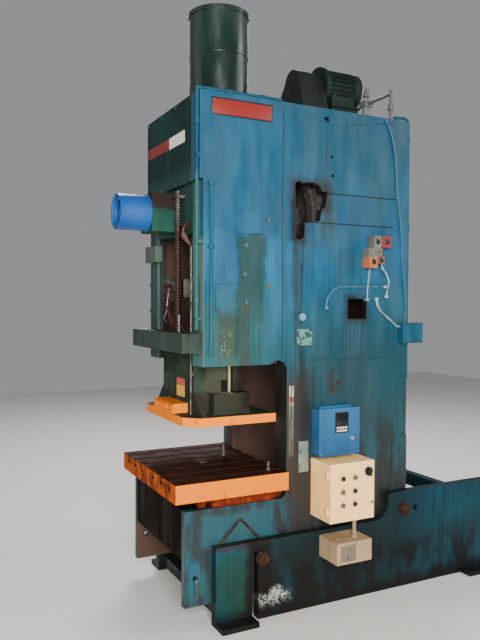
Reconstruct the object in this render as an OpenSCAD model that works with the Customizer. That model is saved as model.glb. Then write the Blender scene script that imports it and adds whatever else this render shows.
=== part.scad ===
// Gap-frame mechanical stamping press, single point, crankshaft front to back.
// X runs to the press's right, Y runs to its rear, Z runs up. The origin lies on the floor,
// in the middle of the four anchor bolts of the legs.

/* [Body] */
// Width over the two side plates
body_w = 770; // [740:1:800]
// Thickness of each side plate
plate_t = 40; // [34:1:46]
// Height of the top of the body above the floor
body_top_z = 2650; // [2600:1:2750]
// Height of the underside of the head
head_bottom_z = 1290; // [1275:1:1300]
// Front face of the head
head_front_y = -960; // [-966:1:-955]
// Rear face of the body
body_rear_y = 320; // [300:1:340]
// Rear edge of the throat
throat_y = -480; // [-490:1:-465]
// Height of the top of the bed
bed_top_z = 585; // [575:1:600]
// Front face of the bed
bed_front_y = -1055; // [-1075:1:-1045]
// Height of the lowest edge of the body, which hangs between its legs
body_bottom_z = 110; // [100:1:130]
// Thickness of the cross walls and of the top and back plates
wall_t = 40; // [34:1:44]
// Width of the stiffening flange along the rear of the throat
column_flange_w = 80; // [60:1:85]

/* [Legs] */
// Thickness of each leg
leg_t = 50; // [40:1:60]
// Length of each leg, front to back
leg_len = 1818; // [1790:2:1860]
// Height of the ledge along the front half of the legs
leg_ledge_z = 400; // [385:1:410]
// Height of the rear half of the legs
leg_rear_z = 542; // [520:1:560]
// Distance between anchor bolts, left to right
anchor_x = 950; // [930:2:970]
// Distance of the anchor holes from the ends of the legs
anchor_inset = 109; // [80:1:140]
// Diameter of the anchor bolt holes
anchor_d = 28; // [22:1:32]
// Diameter of the bolts that clamp the body between its legs
clamp_d = 40; // [30:1:44]

/* [Bolster] */
// Width of the bolster
bolster_w = 830; // [820:2:850]
// Depth of the bolster
bolster_len = 632; // [600:2:634]
// Thickness of the bolster
bolster_t = 93; // [86:1:104]
// Thickness of the packing bars between bed and bolster
packing_t = 50; // [40:1:60]
// Width of the neck of a T-slot
slot_w = 20; // [18:1:24]
// Distance between neighbouring T-slots
slot_pitch = 120; // [110:1:125]
// Distance between the two middle T-slots
slot_middle = 180; // [170:1:190]

/* [Slide] */
// Opening between the bolster and the slide at the top of its stroke
open_height = 257; // [250:1:262]
// Width of the slide between its guides
slide_w = 440; // [430:2:444]
// Depth of the slide
slide_len = 290; // [280:2:300]
// Height of the slide above its flange
slide_h = 605; // [590:1:620]
// Width of the slide flange
flange_w = 690; // [670:2:700]
// Depth of the slide flange
flange_len = 500; // [490:1:510]
// Thickness of the slide flange
flange_t = 46; // [40:1:50]
// Diameter of the shank hole for the upper die
shank_d = 50; // [40:1:60]
// Clearance of the slide in its guides
slide_gap = 0.1; // [0.05:0.01:0.2]

/* [Drive] */
// Height of the crankshaft axis
crank_z = 2080; // [2065:1:2095]
// Throw of the crank, half the stroke
crank_throw = 50; // [40:1:50]
// Diameter of the crankshaft journals
journal_d = 120; // [110:2:124]
// Diameter of the crank pin
crank_pin_d = 140; // [130:2:146]
// Distance from crank pin to ball
rod_len = 630; // [620:1:640]
// Diameter of the ball at the end of the adjusting screw
ball_d = 110; // [100:2:116]
// Diameter of the adjusting screw
screw_d = 76; // [70:1:80]
// Radial running clearance of shafts in their bores
running_gap = 0.05; // [0.02:0.01:0.1]
// Diameter of the flywheel
flywheel_d = 640; // [620:2:650]
// Width of the flywheel
flywheel_w = 120; // [110:1:124]
// Diameter of the motor pulley
pulley_d = 130; // [120:1:136]
// Diameter of the motor
motor_d = 210; // [200:2:220]
// Length of the motor
motor_len = 250; // [240:1:260]
// Height of the motor axis above the top of the body
motor_h = 200; // [192:1:212]
// Sideways offset of the motor from the crankshaft
motor_x = 120; // [110:1:130]

/* [Air tank and front drum] */
// Diameter of the air tank
tank_d = 324; // [300:2:340]
// Height of the air tank
tank_h = 560; // [520:2:600]
// Diameter of the drum over the front end of the crankshaft
drum_d = 186; // [178:2:194]
// Length of that drum
drum_len = 166; // [155:1:172]

/* [Boxes] */
// Width of the control box
control_w = 278; // [270:1:284]
// Height of the control box
control_h = 306; // [300:1:312]
// Depth of the control box with its door
control_depth = 185; // [175:1:195]
// Height of the underside of the control box
control_z = 476; // [470:1:482]
// Diameter of a push-button head
button_d = 24; // [20:1:28]
// Travel of a push-button
button_travel = 3; // [2:0.5:4]
// Width of the monitor box
monitor_w = 260; // [250:1:266]
// Height of the monitor box
monitor_h = 254; // [246:1:258]
// Depth of the monitor box
monitor_depth = 75; // [65:1:80]
// Width of the meter box
meter_w = 218; // [210:1:226]
// Height of the meter box
meter_h = 112; // [105:1:115]
// Depth of the meter box
meter_depth = 165; // [155:1:175]

/* [Hidden] */
$fn = 48;

// Gap left between curved faces of pieces that stay together
seat_gap = 0.3;
// Overlap by which a cut runs past the face that it opens
cut = 1;

side_x = body_w / 2;
inner_x = side_x - plate_t;
bolster_top_z = bed_top_z + packing_t + bolster_t;
bolster_front_y = bed_front_y - 60;
press_y = throat_y - 315;
slide_face_z = bolster_top_z + open_height;
flange_top_z = slide_face_z + flange_t;
slide_top_z = flange_top_z + slide_h;
slide_front_y = press_y - slide_len / 2;
slide_rear_y = press_y + slide_len / 2;
flange_front_y = bolster_front_y + 92;

// The window in the front of the head, and the cover above it
window_half = 253;
cover_bottom_z = head_bottom_z + 927;
cover_t = 20;
cheek_t = 40;

// The V-shaped ways on the sides of the slide, and the guides around them
way_out = 70;
way_half = 80;
way_tip = 10;
way_x = slide_w / 2 + way_out;
gib_h = 460;
gib_front_y = head_front_y + cheek_t;

// Crankshaft stations along Y
journal_r = journal_d / 2;
crank_pin_r = crank_pin_d / 2;
strap_w = 110;
web_t = 26;
web_r = 88;
pin_gap = 2;
web_front_y = press_y - strap_w / 2 - pin_gap - web_t;
web_rear_y = press_y + strap_w / 2 + pin_gap;
strap_r = 125;
ball_z = crank_z + crank_throw - rod_len;
ball_r = ball_d / 2;
screw_r = screw_d / 2;
bush_r = journal_r + 20;
beam_t = 70;
crown_wall_y = throat_y - 80;
rear_wall_y = body_rear_y - 260;
crank_rear_y = rear_wall_y + wall_t + 80;
flywheel_y = -288;
flywheel_r = flywheel_d / 2;
clutch_r = 205;
clutch_w = 80;
clutch_y = flywheel_y - clutch_w - 10;
brake_r = 180;

// Drum and housing over the front end of the crankshaft
housing_len = 159;
housing_w = 180;
housing_h = 200;
drum_rear_y = head_front_y - housing_len;
drum_front_y = drum_rear_y - drum_len;
stub_r = journal_r - 15;

motor_z = body_top_z + motor_h;
motor_y = -135;
belt_count = 3;
belt_w = 20;
belt_pitch = 32;
belt_t = 12;
pulley_w = flywheel_w;
pulley_r = pulley_d / 2;
belt_gap = 1.5;

belt_dz = motor_z - crank_z;
belt_dist = sqrt(motor_x * motor_x + belt_dz * belt_dz);
belt_dir = atan2(belt_dz, motor_x);
belt_lean = acos((flywheel_r - pulley_r) / belt_dist);

// Where the left (1) or right (-1) run of the belts crosses a height
function belt_x(side, z) = let (
    a = belt_dir + side * belt_lean,
    low = [flywheel_r * cos(a), crank_z + flywheel_r * sin(a)],
    high = [motor_x + pulley_r * cos(a), motor_z + pulley_r * sin(a)]
) low[0] + (high[0] - low[0]) * (z - low[1]) / (high[1] - low[1]);

tank_y = press_y + 93;
tank_wall = 6;

control_y = -328;
control_shell = 2.5;
door_t = 18;
door_x = side_x + control_depth - door_t;
door_face_x = door_x + door_t;
hinge_r = 6;
hinge_pin_r = 3;
hinge_y = control_y - hinge_r - 1;
knuckle = 14;
hinge_zs = [control_z + 40, control_z + control_h - 40 - 3 * knuckle];
button_r = button_d / 2;
stem_r = 8;
button_cols = [control_y + 73, control_y + 148];
button_rows = [control_z + 228, control_z + 158, control_z + 90];
selector_y = control_y + control_w - 39;
selector_z = control_z + control_h - 56;

monitor_y = control_y + 3;
monitor_z = control_z + control_h + 14;
monitor_x = side_x + monitor_depth;
key_y = monitor_y + 208;
key_z = monitor_z + 90;
key_r = 7;

meter_y = control_y + 24;
meter_z = 266;

clamp_r = clamp_d / 2;
clamp_front = [-649, 310];
clamp_rear = [268, 440];
leg_x = side_x + leg_t;
leg_half = leg_len / 2;
anchor_y = leg_len - 2 * anchor_inset;
pad_t = 25;
pad_len = 203;
pad_out = 80;

// Points of an arc in a plane
function arc(c, r, a0, a1, n) = [for (i = [0 : n]) let (a = a0 + (a1 - a0) * i / n) c + r * [cos(a), sin(a)]];

// Outline given as Y and Z, standing at x and t thick towards +X
module yz_plate(x, t) {
    translate([x, 0, 0]) rotate([90, 0, 90]) linear_extrude(t) children();
}

// Outline given as X and Z, standing at y and t thick towards +Y
module xz_plate(y, t) {
    translate([0, y + t, 0]) rotate([90, 0, 0]) linear_extrude(t) children();
}

// Box between two corners
module block(a, b) {
    translate(a) cube(b - a);
}

// Round bar along X, Y or Z that starts at p
module bar_x(p, len, r) {
    translate(p) rotate([0, 90, 0]) cylinder(h = len, r = r);
}

module bar_y(p, len, r) {
    translate(p) rotate([-90, 0, 0]) cylinder(h = len, r = r);
}

module bar_z(p, len, r) {
    translate(p) cylinder(h = len, r = r);
}

// Six-sided nut or bolt head along X that starts at p
module hex_x(p, len, across) {
    translate(p) rotate([0, 90, 0]) cylinder(h = len, d = across / cos(30), $fn = 6);
}

module hex_y(p, len, across) {
    translate(p) rotate([-90, 0, 0]) cylinder(h = len, d = across / cos(30), $fn = 6);
}

// Pipe through a list of points, with a ball at every bend
module pipe(points, r) {
    for (i = [0 : len(points) - 2]) {
        v = points[i + 1] - points[i];
        h = norm(v);
        translate(points[i])
            rotate([0, acos(v[2] / h), atan2(v[1], v[0])])
                cylinder(h = h, r = r, $fn = 24);
    }
    for (i = [1 : 1 : len(points) - 2]) translate(points[i]) sphere(r = r + seat_gap, $fn = 24);
}

// Copy of the children on the other side of the middle plane
module both_sides() {
    children();
    mirror([1, 0, 0]) children();
}

// Side plates: one C-shaped outline with a relieved throat corner
relief_r = 55;
relief_drop = 35;
fillet_r = 40;
rear_bottom_z = body_bottom_z + 310;

module side_outline() {
    relief_a = asin(relief_drop / relief_r);
    polygon(concat(
        [[head_front_y, body_top_z], [head_front_y, head_bottom_z]],
        arc([throat_y - relief_r, head_bottom_z - relief_drop], relief_r, 180 - relief_a, 0, 12),
        arc([throat_y - fillet_r, bed_top_z + fillet_r], fillet_r, 0, -90, 6),
        [[bed_front_y, bed_top_z], [bed_front_y, body_bottom_z], [-350, body_bottom_z],
         [body_rear_y, rear_bottom_z], [body_rear_y, body_top_z]]
    ));
}

module clamp_holes(x, t) {
    for (p = [clamp_front, clamp_rear])
        bar_x([x - cut, p[0], p[1]], t + 2 * cut, clamp_r + 0.5);
}

module side_plate_solid() {
    difference() {
        union() {
            yz_plate(inner_x, plate_t) side_outline();
            block([inner_x - column_flange_w, throat_y, bed_top_z],
                  [inner_x, throat_y + 30, head_bottom_z]);
        }
        clamp_holes(inner_x, plate_t);
        bar_x([inner_x - cut, -998, 250], plate_t + 2 * cut, 14);
    }
}

// Window cut by hand into the right side plate beside the clutch, with ragged edges
access_hole = [
    [-436, 2237], [-407, 2255], [-398, 2240], [-333, 2250], [-282, 2234], [-269, 2206],
    [-231, 2206], [-237, 2168], [-249, 2119], [-268, 2113], [-280, 2048], [-375, 2032],
    [-378, 1963], [-404, 1942], [-430, 1950]
];
seam_w = 5;
seam_depth = 3;

module right_side_plate() {
    color("#3b7a9b") difference() {
        union() {
            side_plate_solid();
            block([278, head_front_y - cover_t, cover_bottom_z], [side_x, head_front_y, body_top_z]);
            yz_plate(side_x - cut, cut + 6) difference() {
                polygon([[body_rear_y - 102, leg_rear_z + 5], [body_rear_y, leg_rear_z + 5],
                         [body_rear_y, 852], [body_rear_y - 102, 852]]);
                translate([body_rear_y - 56, 785]) circle(r = 22);
            }
        }
        yz_plate(inner_x - cut, plate_t + 2 * cut) polygon(access_hole);
        block([inner_x - cut, -93, 1524], [side_x + cut, 32, 1633]);
        for (h = [[-242, 2590, 17], [-206, 2396, 8], [-199, 2295, 8]])
            bar_x([inner_x - cut, h[0], h[1]], plate_t + 2 * cut, h[2]);
        block([side_x - seam_depth, throat_y - 33, head_bottom_z + 40],
              [side_x + cut, throat_y - 33 + seam_w, body_top_z - 20]);
        block([side_x - seam_depth, -346, 1303], [side_x + cut, 277, 1303 + seam_w]);
        block([side_x - seam_depth, -294, 2196], [side_x + cut, 229, 2196 + seam_w]);
        block([side_x - seam_depth, -357, 2036], [side_x + cut, 217, 2036 + seam_w]);
        block([side_x - seam_depth, -244, 2320], [side_x + cut, -244 + seam_w, 2560]);
    }
}

module left_side_plate() {
    color("#3b7a9b") mirror([1, 0, 0]) difference() {
        side_plate_solid();
        block([inner_x - cut, -93, 1524], [side_x + cut, 32, 1633]);
    }
}

// Slot for the belts in the top plate, as wide as their runs are there, with room on both sides
belt_room = 16;
belt_mid_y = flywheel_y + flywheel_w / 2;
belt_half = (belt_count - 1) / 2 * belt_pitch + belt_w / 2 + belt_room;
belt_slot = [[belt_x(1, body_top_z - wall_t) - belt_room, belt_mid_y - belt_half],
             [belt_x(-1, body_top_z - wall_t) + belt_room, belt_mid_y + belt_half]];

module top_plate() {
    color("#35708c") difference() {
        block([-inner_x, head_front_y, body_top_z - wall_t], [inner_x, body_rear_y, body_top_z]);
        block([belt_slot[0][0], belt_slot[0][1], body_top_z - wall_t - cut],
              [belt_slot[1][0], belt_slot[1][1], body_top_z + cut]);
        bar_z([0, tank_y, body_top_z - wall_t - cut], wall_t + 2 * cut, 15);
    }
}

module back_plate() {
    open_x = inner_x - column_flange_w;
    color("#35708c") xz_plate(body_rear_y - wall_t, wall_t) difference() {
        polygon([[-inner_x, clamp_rear[1] + 60], [inner_x, clamp_rear[1] + 60],
                 [inner_x, body_top_z - wall_t], [-inner_x, body_top_z - wall_t]]);
        polygon([[-open_x, 760], [open_x, 760], [open_x, 1250], [-open_x, 1250]]);
        translate([0, crank_z]) circle(r = brake_r + 40);
    }
}

module bearing_wall(y, z) {
    difference() {
        block([-inner_x, y, z], [inner_x, y + wall_t, body_top_z - wall_t]);
        bar_y([0, y - cut, crank_z], wall_t + 2 * cut, bush_r);
    }
}

module crown_wall() {
    color("#35708c") bearing_wall(crown_wall_y, head_bottom_z);
}

module rear_wall() {
    color("#35708c") bearing_wall(rear_wall_y, crank_z - 360);
}

module gib_cheeks() {
    color("#4a8cb0") both_sides()
        block([window_half, head_front_y, head_bottom_z], [inner_x, gib_front_y, cover_bottom_z]);
}

module front_cover() {
    color("#24484c") difference() {
        block([-side_x, head_front_y - cover_t, cover_bottom_z], [278, head_front_y, body_top_z]);
        block([-side_x + 12, head_front_y - cover_t + 4, cover_bottom_z + 12],
              [278 - 12, head_front_y + cut, body_top_z - 12]);
    }
}

tie_z = head_bottom_z + 70;
tie_h = 97;
tie_out = 110;

module tie_bar() {
    color("#2f6b7a") difference() {
        block([-side_x, head_front_y - tie_out, tie_z], [side_x, head_front_y, tie_z + tie_h]);
        block([-side_x + 90, head_front_y - tie_out + 22, tie_z - cut],
              [side_x - 90, head_front_y + cut, tie_z + tie_h - 20]);
    }
}

module front_bearing_beam() {
    color("#2f5a52") difference() {
        union() {
            block([-window_half, head_front_y, crank_z - 115],
                  [window_half, head_front_y + beam_t - 14, cover_bottom_z]);
            bar_y([0, head_front_y, crank_z], beam_t, bush_r + 22);
        }
        bar_y([0, head_front_y - cut, crank_z], beam_t + 2 * cut, bush_r);
    }
}

module bush(y, len) {
    difference() {
        bar_y([0, y, crank_z], len, bush_r - 0.05);
        bar_y([0, y - cut, crank_z], len + 2 * cut, journal_r + running_gap);
    }
}

module crank_bushes() {
    color("#b08040") {
        bush(head_front_y, beam_t);
        bush(crown_wall_y, wall_t);
        bush(rear_wall_y, wall_t);
    }
}

// Guide outline on the right, front half; the rear half is its mirror image about press_y
module gib_outline() {
    g = slide_gap * sqrt(2);
    flank = press_y - way_half - slide_w / 2;
    x_side = slide_w / 2 + 1;
    y_tip = press_y - way_tip / 2;
    y_side = x_side - g + flank;
    polygon([[inner_x, gib_front_y], [inner_x, y_tip], [y_tip - flank + g, y_tip],
             [x_side, y_side], [x_side, gib_front_y]]);
}

module slide_gibs() {
    color("#8f9078") translate([0, 0, head_bottom_z]) linear_extrude(gib_h) both_sides() {
        gib_outline();
        translate([0, 2 * press_y]) mirror([0, 1]) gib_outline();
    }
}

module gib_bolt(z) {
    bar_x([side_x, head_front_y + 20, z], 20, 9);
    hex_x([side_x + 20, head_front_y + 20, z], 16, 30);
}

module gib_bolts() {
    color("#4c564c") {
        for (z = [2266, 1930, 1713, 1560]) mirror([1, 0, 0]) gib_bolt(z);
        for (p = [[-598, 2034], [-726, 1898], [-734, 1753], [-596, 1698], [-724, 1611]])
            hex_x([side_x, p[0], p[1]], 10, 24);
    }
}

bed_plate_t = 40;
apron_t = 25;
apron_z = 335;
rib_x = 100;
rib_t = 30;

module bed() {
    color("#3f86a4") difference() {
        union() {
            block([-inner_x, bed_front_y, bed_top_z - bed_plate_t], [inner_x, throat_y, bed_top_z]);
            block([-inner_x, bed_front_y, apron_z], [inner_x, bed_front_y + apron_t, bed_top_z]);
            both_sides() block([rib_x, bed_front_y, apron_z], [rib_x + rib_t, throat_y, bed_top_z]);
        }
        bar_z([0, press_y, bed_top_z - bed_plate_t - cut], bed_plate_t + 2 * cut, 60);
    }
}

module packing_bars() {
    color("#6b3024") {
        both_sides() {
            block([290, -903, bed_top_z], [375, -552, bed_top_z + packing_t]);
            block([285, -965, bed_top_z], [345, -925, bed_top_z + packing_t]);
            block([275, -546, bed_top_z], [inner_x, throat_y - 5, bed_top_z + packing_t]);
        }
        block([-60, -1040, bed_top_z], [60, -960, bed_top_z + packing_t]);
    }
}

slot_head_w = slot_w + 14;
slot_head_h = 16;
slot_neck = 24;
slot_x = [for (i = [-2.5 : 1 : 2.5])
    sign(i) * (slot_middle / 2 + (abs(i) - 0.5) * slot_pitch)];

module bolster() {
    rear_y = bolster_front_y + bolster_len;
    color("#f9a040") difference() {
        block([-bolster_w / 2, bolster_front_y, bed_top_z + packing_t],
              [bolster_w / 2, rear_y, bolster_top_z]);
        for (x = slot_x) {
            block([x - slot_w / 2, bolster_front_y - cut, bolster_top_z - slot_neck],
                  [x + slot_w / 2, rear_y + cut, bolster_top_z + cut]);
            block([x - slot_head_w / 2, bolster_front_y - cut, bolster_top_z - slot_neck - slot_head_h],
                  [x + slot_head_w / 2, rear_y + cut, bolster_top_z - slot_neck]);
        }
        bar_z([0, press_y, bolster_top_z - bolster_t - cut], bolster_t + 2 * cut, 30);
    }
}

// Two studs left standing in the T-slots, and the plug in the middle hole
module t_studs() {
    head_z = bolster_top_z - slot_neck - slot_head_h;
    color("#8a8580") {
        for (p = [[slot_x[2], -621, 76], [slot_x[5], -559, 48]]) {
            block([p[0] - slot_head_w / 2 + 2, p[1] - 16, head_z],
                  [p[0] + slot_head_w / 2 - 2, p[1] + 16, head_z + 12]);
            bar_z([p[0], p[1], head_z + 12], bolster_top_z + p[2] - head_z - 12, 8);
        }
        bar_z([0, press_y, bolster_top_z - 50], 50, 30 - seat_gap);
        bar_z([0, press_y, bolster_top_z], 7, 38);
    }
}

// Legs: low ledge in front, a concave shoulder, then the higher rear rail
shoulder_y = 60;
shoulder_r = 100;
leg_slot = [-706, -672];

module leg_outline() {
    difference() {
        polygon(concat(
            [[-leg_half, 0], [-leg_half, leg_ledge_z]],
            arc([shoulder_y, leg_ledge_z + shoulder_r], shoulder_r, -90, 0, 10),
            [[shoulder_y + shoulder_r, leg_rear_z - 12], [shoulder_y + shoulder_r + 12, leg_rear_z],
             [leg_half, leg_rear_z], [leg_half, 0]]
        ));
        polygon([[leg_slot[0], -cut], [leg_slot[1], -cut], [leg_slot[1], 350], [leg_slot[0], 350]]);
    }
}

module leg() {
    difference() {
        union() {
            yz_plate(side_x, leg_t) leg_outline();
            block([side_x, -leg_half, 0], [leg_x + pad_out, -leg_half + pad_len, pad_t]);
            block([side_x, leg_half - pad_len, 0], [leg_x + pad_out, leg_half, pad_t]);
        }
        clamp_holes(side_x, leg_t);
        bar_x([side_x - cut, 351, 440], leg_t + 2 * cut, 16);
        for (y = [-anchor_y / 2, anchor_y / 2])
            bar_z([anchor_x / 2, y, -cut], pad_t + 2 * cut, anchor_d / 2);
    }
}

module right_leg() {
    color("#2f6b7a") leg();
}

module left_leg() {
    color("#2f6b7a") mirror([1, 0, 0]) leg();
}

module leg_ties() {
    color("#2c4a48") {
        block([-side_x, -880, 30], [side_x, -820, 90]);
        block([-side_x, leg_half - 190, 60], [side_x, leg_half - 130, 140]);
        block([-side_x, leg_half - 120, 380], [side_x, leg_half - 60, 460]);
    }
}

module clamp_bolt(p) {
    bar_x([inner_x - 30, p[0], p[1]], leg_x + 26 - inner_x + 30, clamp_r);
    bar_x([leg_x, p[0], p[1]], 8, 37);
    hex_x([leg_x + 8, p[0], p[1]], 16, 56);
    hex_x([inner_x - 22, p[0], p[1]], 22, 56);
}

module clamp_bolts() {
    color("#6a4a3c") both_sides() {
        clamp_bolt(clamp_front);
        clamp_bolt(clamp_rear);
    }
}

motor_r = motor_d / 2;
motor_foot_z = motor_z - motor_r - 8;

module motor_base() {
    color("#2f3a34") {
        difference() {
            union() {
                for (x = [motor_x - 100, motor_x + 85])
                    block([x, motor_y + 40, body_top_z],
                          [x + 15, motor_y + motor_len - 30, motor_foot_z - 12]);
                block([motor_x - 110, motor_y + 30, motor_foot_z - 12],
                      [motor_x + 110, motor_y + motor_len - 20, motor_foot_z]);
            }
            block([motor_x - 60, motor_y + 60, motor_foot_z - 13],
                  [motor_x + 60, motor_y + motor_len - 70, motor_foot_z + cut]);
        }
    }
}

motor_fins = 24;

module motor() {
    color("#2f3a34") difference() {
        union() {
            translate([motor_x, motor_y + 30, motor_z]) rotate([-90, 0, 0]) linear_extrude(motor_len - 75)
                union() {
                    circle(r = motor_r - 12);
                    for (i = [0 : motor_fins - 1]) rotate(i * 360 / motor_fins)
                        translate([motor_r - 15, -2]) square([15, 4]);
                }
            bar_y([motor_x, motor_y, motor_z], 22, motor_r + 10);
            bar_y([motor_x, motor_y + 22, motor_z], 18, motor_r - 4);
            bar_y([motor_x, motor_y + motor_len - 45, motor_z], 45, motor_r - 2);
            for (s = [-1, 1])
                block([motor_x + s * 80 - 22, motor_y + 40, motor_foot_z],
                      [motor_x + s * 80 + 22, motor_y + motor_len - 60, motor_z - 62]);
            block([motor_x - motor_r - 38, motor_y + 70, motor_z - 10],
                  [motor_x - 60, motor_y + 150, motor_z + 62]);
        }
        bar_y([motor_x, motor_y - cut, motor_z], 60, 16 + running_gap);
    }
}

// Run of the belts seen from the front: two arcs joined by their outer tangents
groove_depth = belt_t + belt_gap;

function loop_points(r1, r2) = let (a = acos((r1 - r2) / belt_dist)) concat(
    arc([0, crank_z], r1, belt_dir + a, belt_dir + 360 - a, 40),
    arc([motor_x, motor_z], r2, belt_dir - a, belt_dir + a, 24)
);

module drive_belts() {
    first_y = flywheel_y + flywheel_w / 2 - (belt_count - 1) / 2 * belt_pitch;
    color("#1c1c1c") for (i = [0 : belt_count - 1])
        xz_plate(first_y + i * belt_pitch - belt_w / 2, belt_w) difference() {
            polygon(loop_points(flywheel_r - 0.5, pulley_r - 0.5));
            polygon(loop_points(flywheel_r - belt_t, pulley_r - belt_t));
        }
}

// Half section of a grooved wheel rim, from its rim inwards
module grooves(r) {
    first = flywheel_w / 2 - (belt_count - 1) / 2 * belt_pitch - belt_w / 2 - seat_gap;
    for (i = [0 : belt_count - 1])
        translate([r - groove_depth, first + i * belt_pitch])
            square([groove_depth + 5, belt_w + 2 * seat_gap]);
}

module flywheel() {
    color("#4a2f26") translate([0, flywheel_y, crank_z]) rotate([-90, 0, 0]) rotate_extrude($fn = 96)
        difference() {
            square([flywheel_r, flywheel_w]);
            translate([-cut, -cut]) square([journal_r + running_gap + cut, flywheel_w + 2 * cut]);
            translate([125, -cut]) square([flywheel_r - 125 - 55, 36]);
            translate([125, flywheel_w - 35]) square([flywheel_r - 125 - 55, 36]);
            grooves(flywheel_r);
        }
}

module motor_pulley() {
    color("#3a3f3c") {
        translate([motor_x, flywheel_y, motor_z]) rotate([-90, 0, 0]) rotate_extrude()
            difference() {
                square([pulley_r, pulley_w]);
                grooves(pulley_r);
            }
        bar_y([motor_x, flywheel_y + pulley_w, motor_z], motor_y + 50 - flywheel_y - pulley_w, 16);
    }
}

guard_r = pulley_r + 10;
guard_y = flywheel_y - 14;
guard_len = motor_y - guard_y - 3;

guard_x = [belt_slot[0][0] - 6, belt_slot[1][0] + 6];

function guard_points(g) = concat(
    [[guard_x[0] + g, body_top_z - (g > 0 ? cut : 0)], [guard_x[0] + g, body_top_z + 30]],
    arc([motor_x, motor_z], guard_r - g, 170, 10, 16),
    [[guard_x[1] - g, body_top_z + 30], [guard_x[1] - g, body_top_z - (g > 0 ? cut : 0)]]
);

module belt_guard() {
    color("#20242a") difference() {
        xz_plate(guard_y, guard_len) polygon(guard_points(0));
        xz_plate(guard_y + 3, guard_len - 6) polygon(guard_points(3));
        bar_y([motor_x, guard_y + 10, motor_z], guard_len, 30);
    }
}

// Air tank, turned section: shell, domed head, rim and bottom ring
module air_tank() {
    r = tank_d / 2;
    color("#2c5a4c") translate([0, tank_y, body_top_z]) rotate_extrude($fn = 64) difference() {
        union() {
            square([r, tank_h - 26]);
            translate([0, tank_h - 40]) square([r + 6, 22]);
            translate([0, tank_h - 26]) square([r - 6, 12]);
            translate([0, tank_h - 20]) square([r - 40, 20]);
            square([r + 12, 14]);
        }
        translate([-cut, 20]) square([r - tank_wall + cut, tank_h - 52]);
        translate([-cut, -cut]) square([12 + cut, 22]);
    }
}

cyl_x = 150;
cyl_y = slide_rear_y + 45;
cyl_r = 30;
cyl_bore_r = 24;
rod_r = 12;
cyl_z = 1760;
cyl_h = 400;
piston_z = cyl_z + cyl_h - 60;

module counterbalance_cylinders() {
    color("#5a6a60") both_sides() difference() {
        union() {
            bar_z([cyl_x, cyl_y, cyl_z], cyl_h, cyl_r);
            for (z = [cyl_z + 30, cyl_z + cyl_h - 60])
                block([cyl_x - 34, cyl_y, z], [cyl_x + 34, crown_wall_y, z + 30]);
        }
        bar_z([cyl_x, cyl_y, cyl_z + 15], cyl_h - 27, cyl_bore_r + running_gap);
        bar_z([cyl_x, cyl_y, cyl_z - cut], 20, rod_r + running_gap);
    }
}

module counterbalance_rods() {
    color("#b8b8b0") both_sides() {
        bar_z([cyl_x, cyl_y, slide_top_z], piston_z - slide_top_z, rod_r);
        bar_z([cyl_x, cyl_y, piston_z], 30, cyl_bore_r);
    }
}

module crank_end_drum() {
    r = drum_d / 2;
    color("#4a85c0") translate([0, drum_front_y, crank_z]) rotate([-90, 0, 0]) rotate_extrude($fn = 64)
        difference() {
            union() {
                square([r, drum_len]);
                translate([0, drum_len - 9]) square([r + 4, 9]);
            }
            translate([-cut, 26]) square([r - 6 + cut, drum_len]);
            translate([-cut, -cut]) square([r - 30 + cut, drum_len]);
            translate([-cut, -cut]) square([r - 12 + cut, 9 + cut]);
        }
}

module drum_housing() {
    color("#4a3a2c") difference() {
        block([-housing_w / 2, drum_rear_y, crank_z - housing_h / 2],
              [housing_w / 2, head_front_y, crank_z + housing_h / 2]);
        bar_y([0, drum_rear_y - cut, crank_z], 14, stub_r + 8);
        block([-housing_w / 2 + 12, drum_rear_y + 12, crank_z - housing_h / 2 + 12],
              [housing_w / 2 - 12, head_front_y + cut, crank_z + housing_h / 2 - 12]);
    }
}

// Cover plates on the right side plate: two opposite corners as Y and Z, and the thickness
side_covers = [
    [[-772, 1958], [-630, 2080], 8],
    [[-894, 1564], [-758, 1698], 8],
    [[-420, 1386], [-328, 1472], 5]
];

module adjuster_covers() {
    color("#4a8cb0") for (c = side_covers)
        block([side_x, c[0][0], c[0][1]], [side_x + c[2], c[1][0], c[1][1]]);
}

pipe_r = 8;
pipe_x = side_x - 14;
pipe_y = head_front_y - cover_t - pipe_r - 1;
feed_x = side_x + 10;
feed_y = head_front_y + 39;
rear_pipe_y = body_rear_y + pipe_r + 1;

module edge_conduits() {
    color("#35708c") {
        pipe([[pipe_x, pipe_y, 1475], [pipe_x, pipe_y, body_top_z + 10], [pipe_x, -876, body_top_z + 10],
              [pipe_x, -513, body_top_z + 10]], pipe_r);
        for (c = [[1520, 0], [1900, 0], [2320, cover_t]])
            block([pipe_x - 14, pipe_y - 4, c[0]], [pipe_x + 14, head_front_y - c[1], c[0] + 16]);
        block([pipe_x - 14, -760, body_top_z], [pipe_x + 14, -744, body_top_z + 14]);
        pipe([[pipe_x, rear_pipe_y, 1180], [pipe_x, rear_pipe_y, 2610]], pipe_r);
        for (z = [1240, 1800, 2400])
            block([pipe_x - 12, body_rear_y, z], [pipe_x + 12, rear_pipe_y + 2, z + 16]);
        pipe([[feed_x, feed_y, head_bottom_z + 50], [feed_x, feed_y, cover_bottom_z - 10]], 9);
        for (z = [head_bottom_z + 70, head_bottom_z + 586, cover_bottom_z - 30])
            block([side_x, feed_y - 16, z], [feed_x + 4, feed_y + 16, z + 20]);
    }
}

junction_y = body_rear_y - 70;

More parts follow.
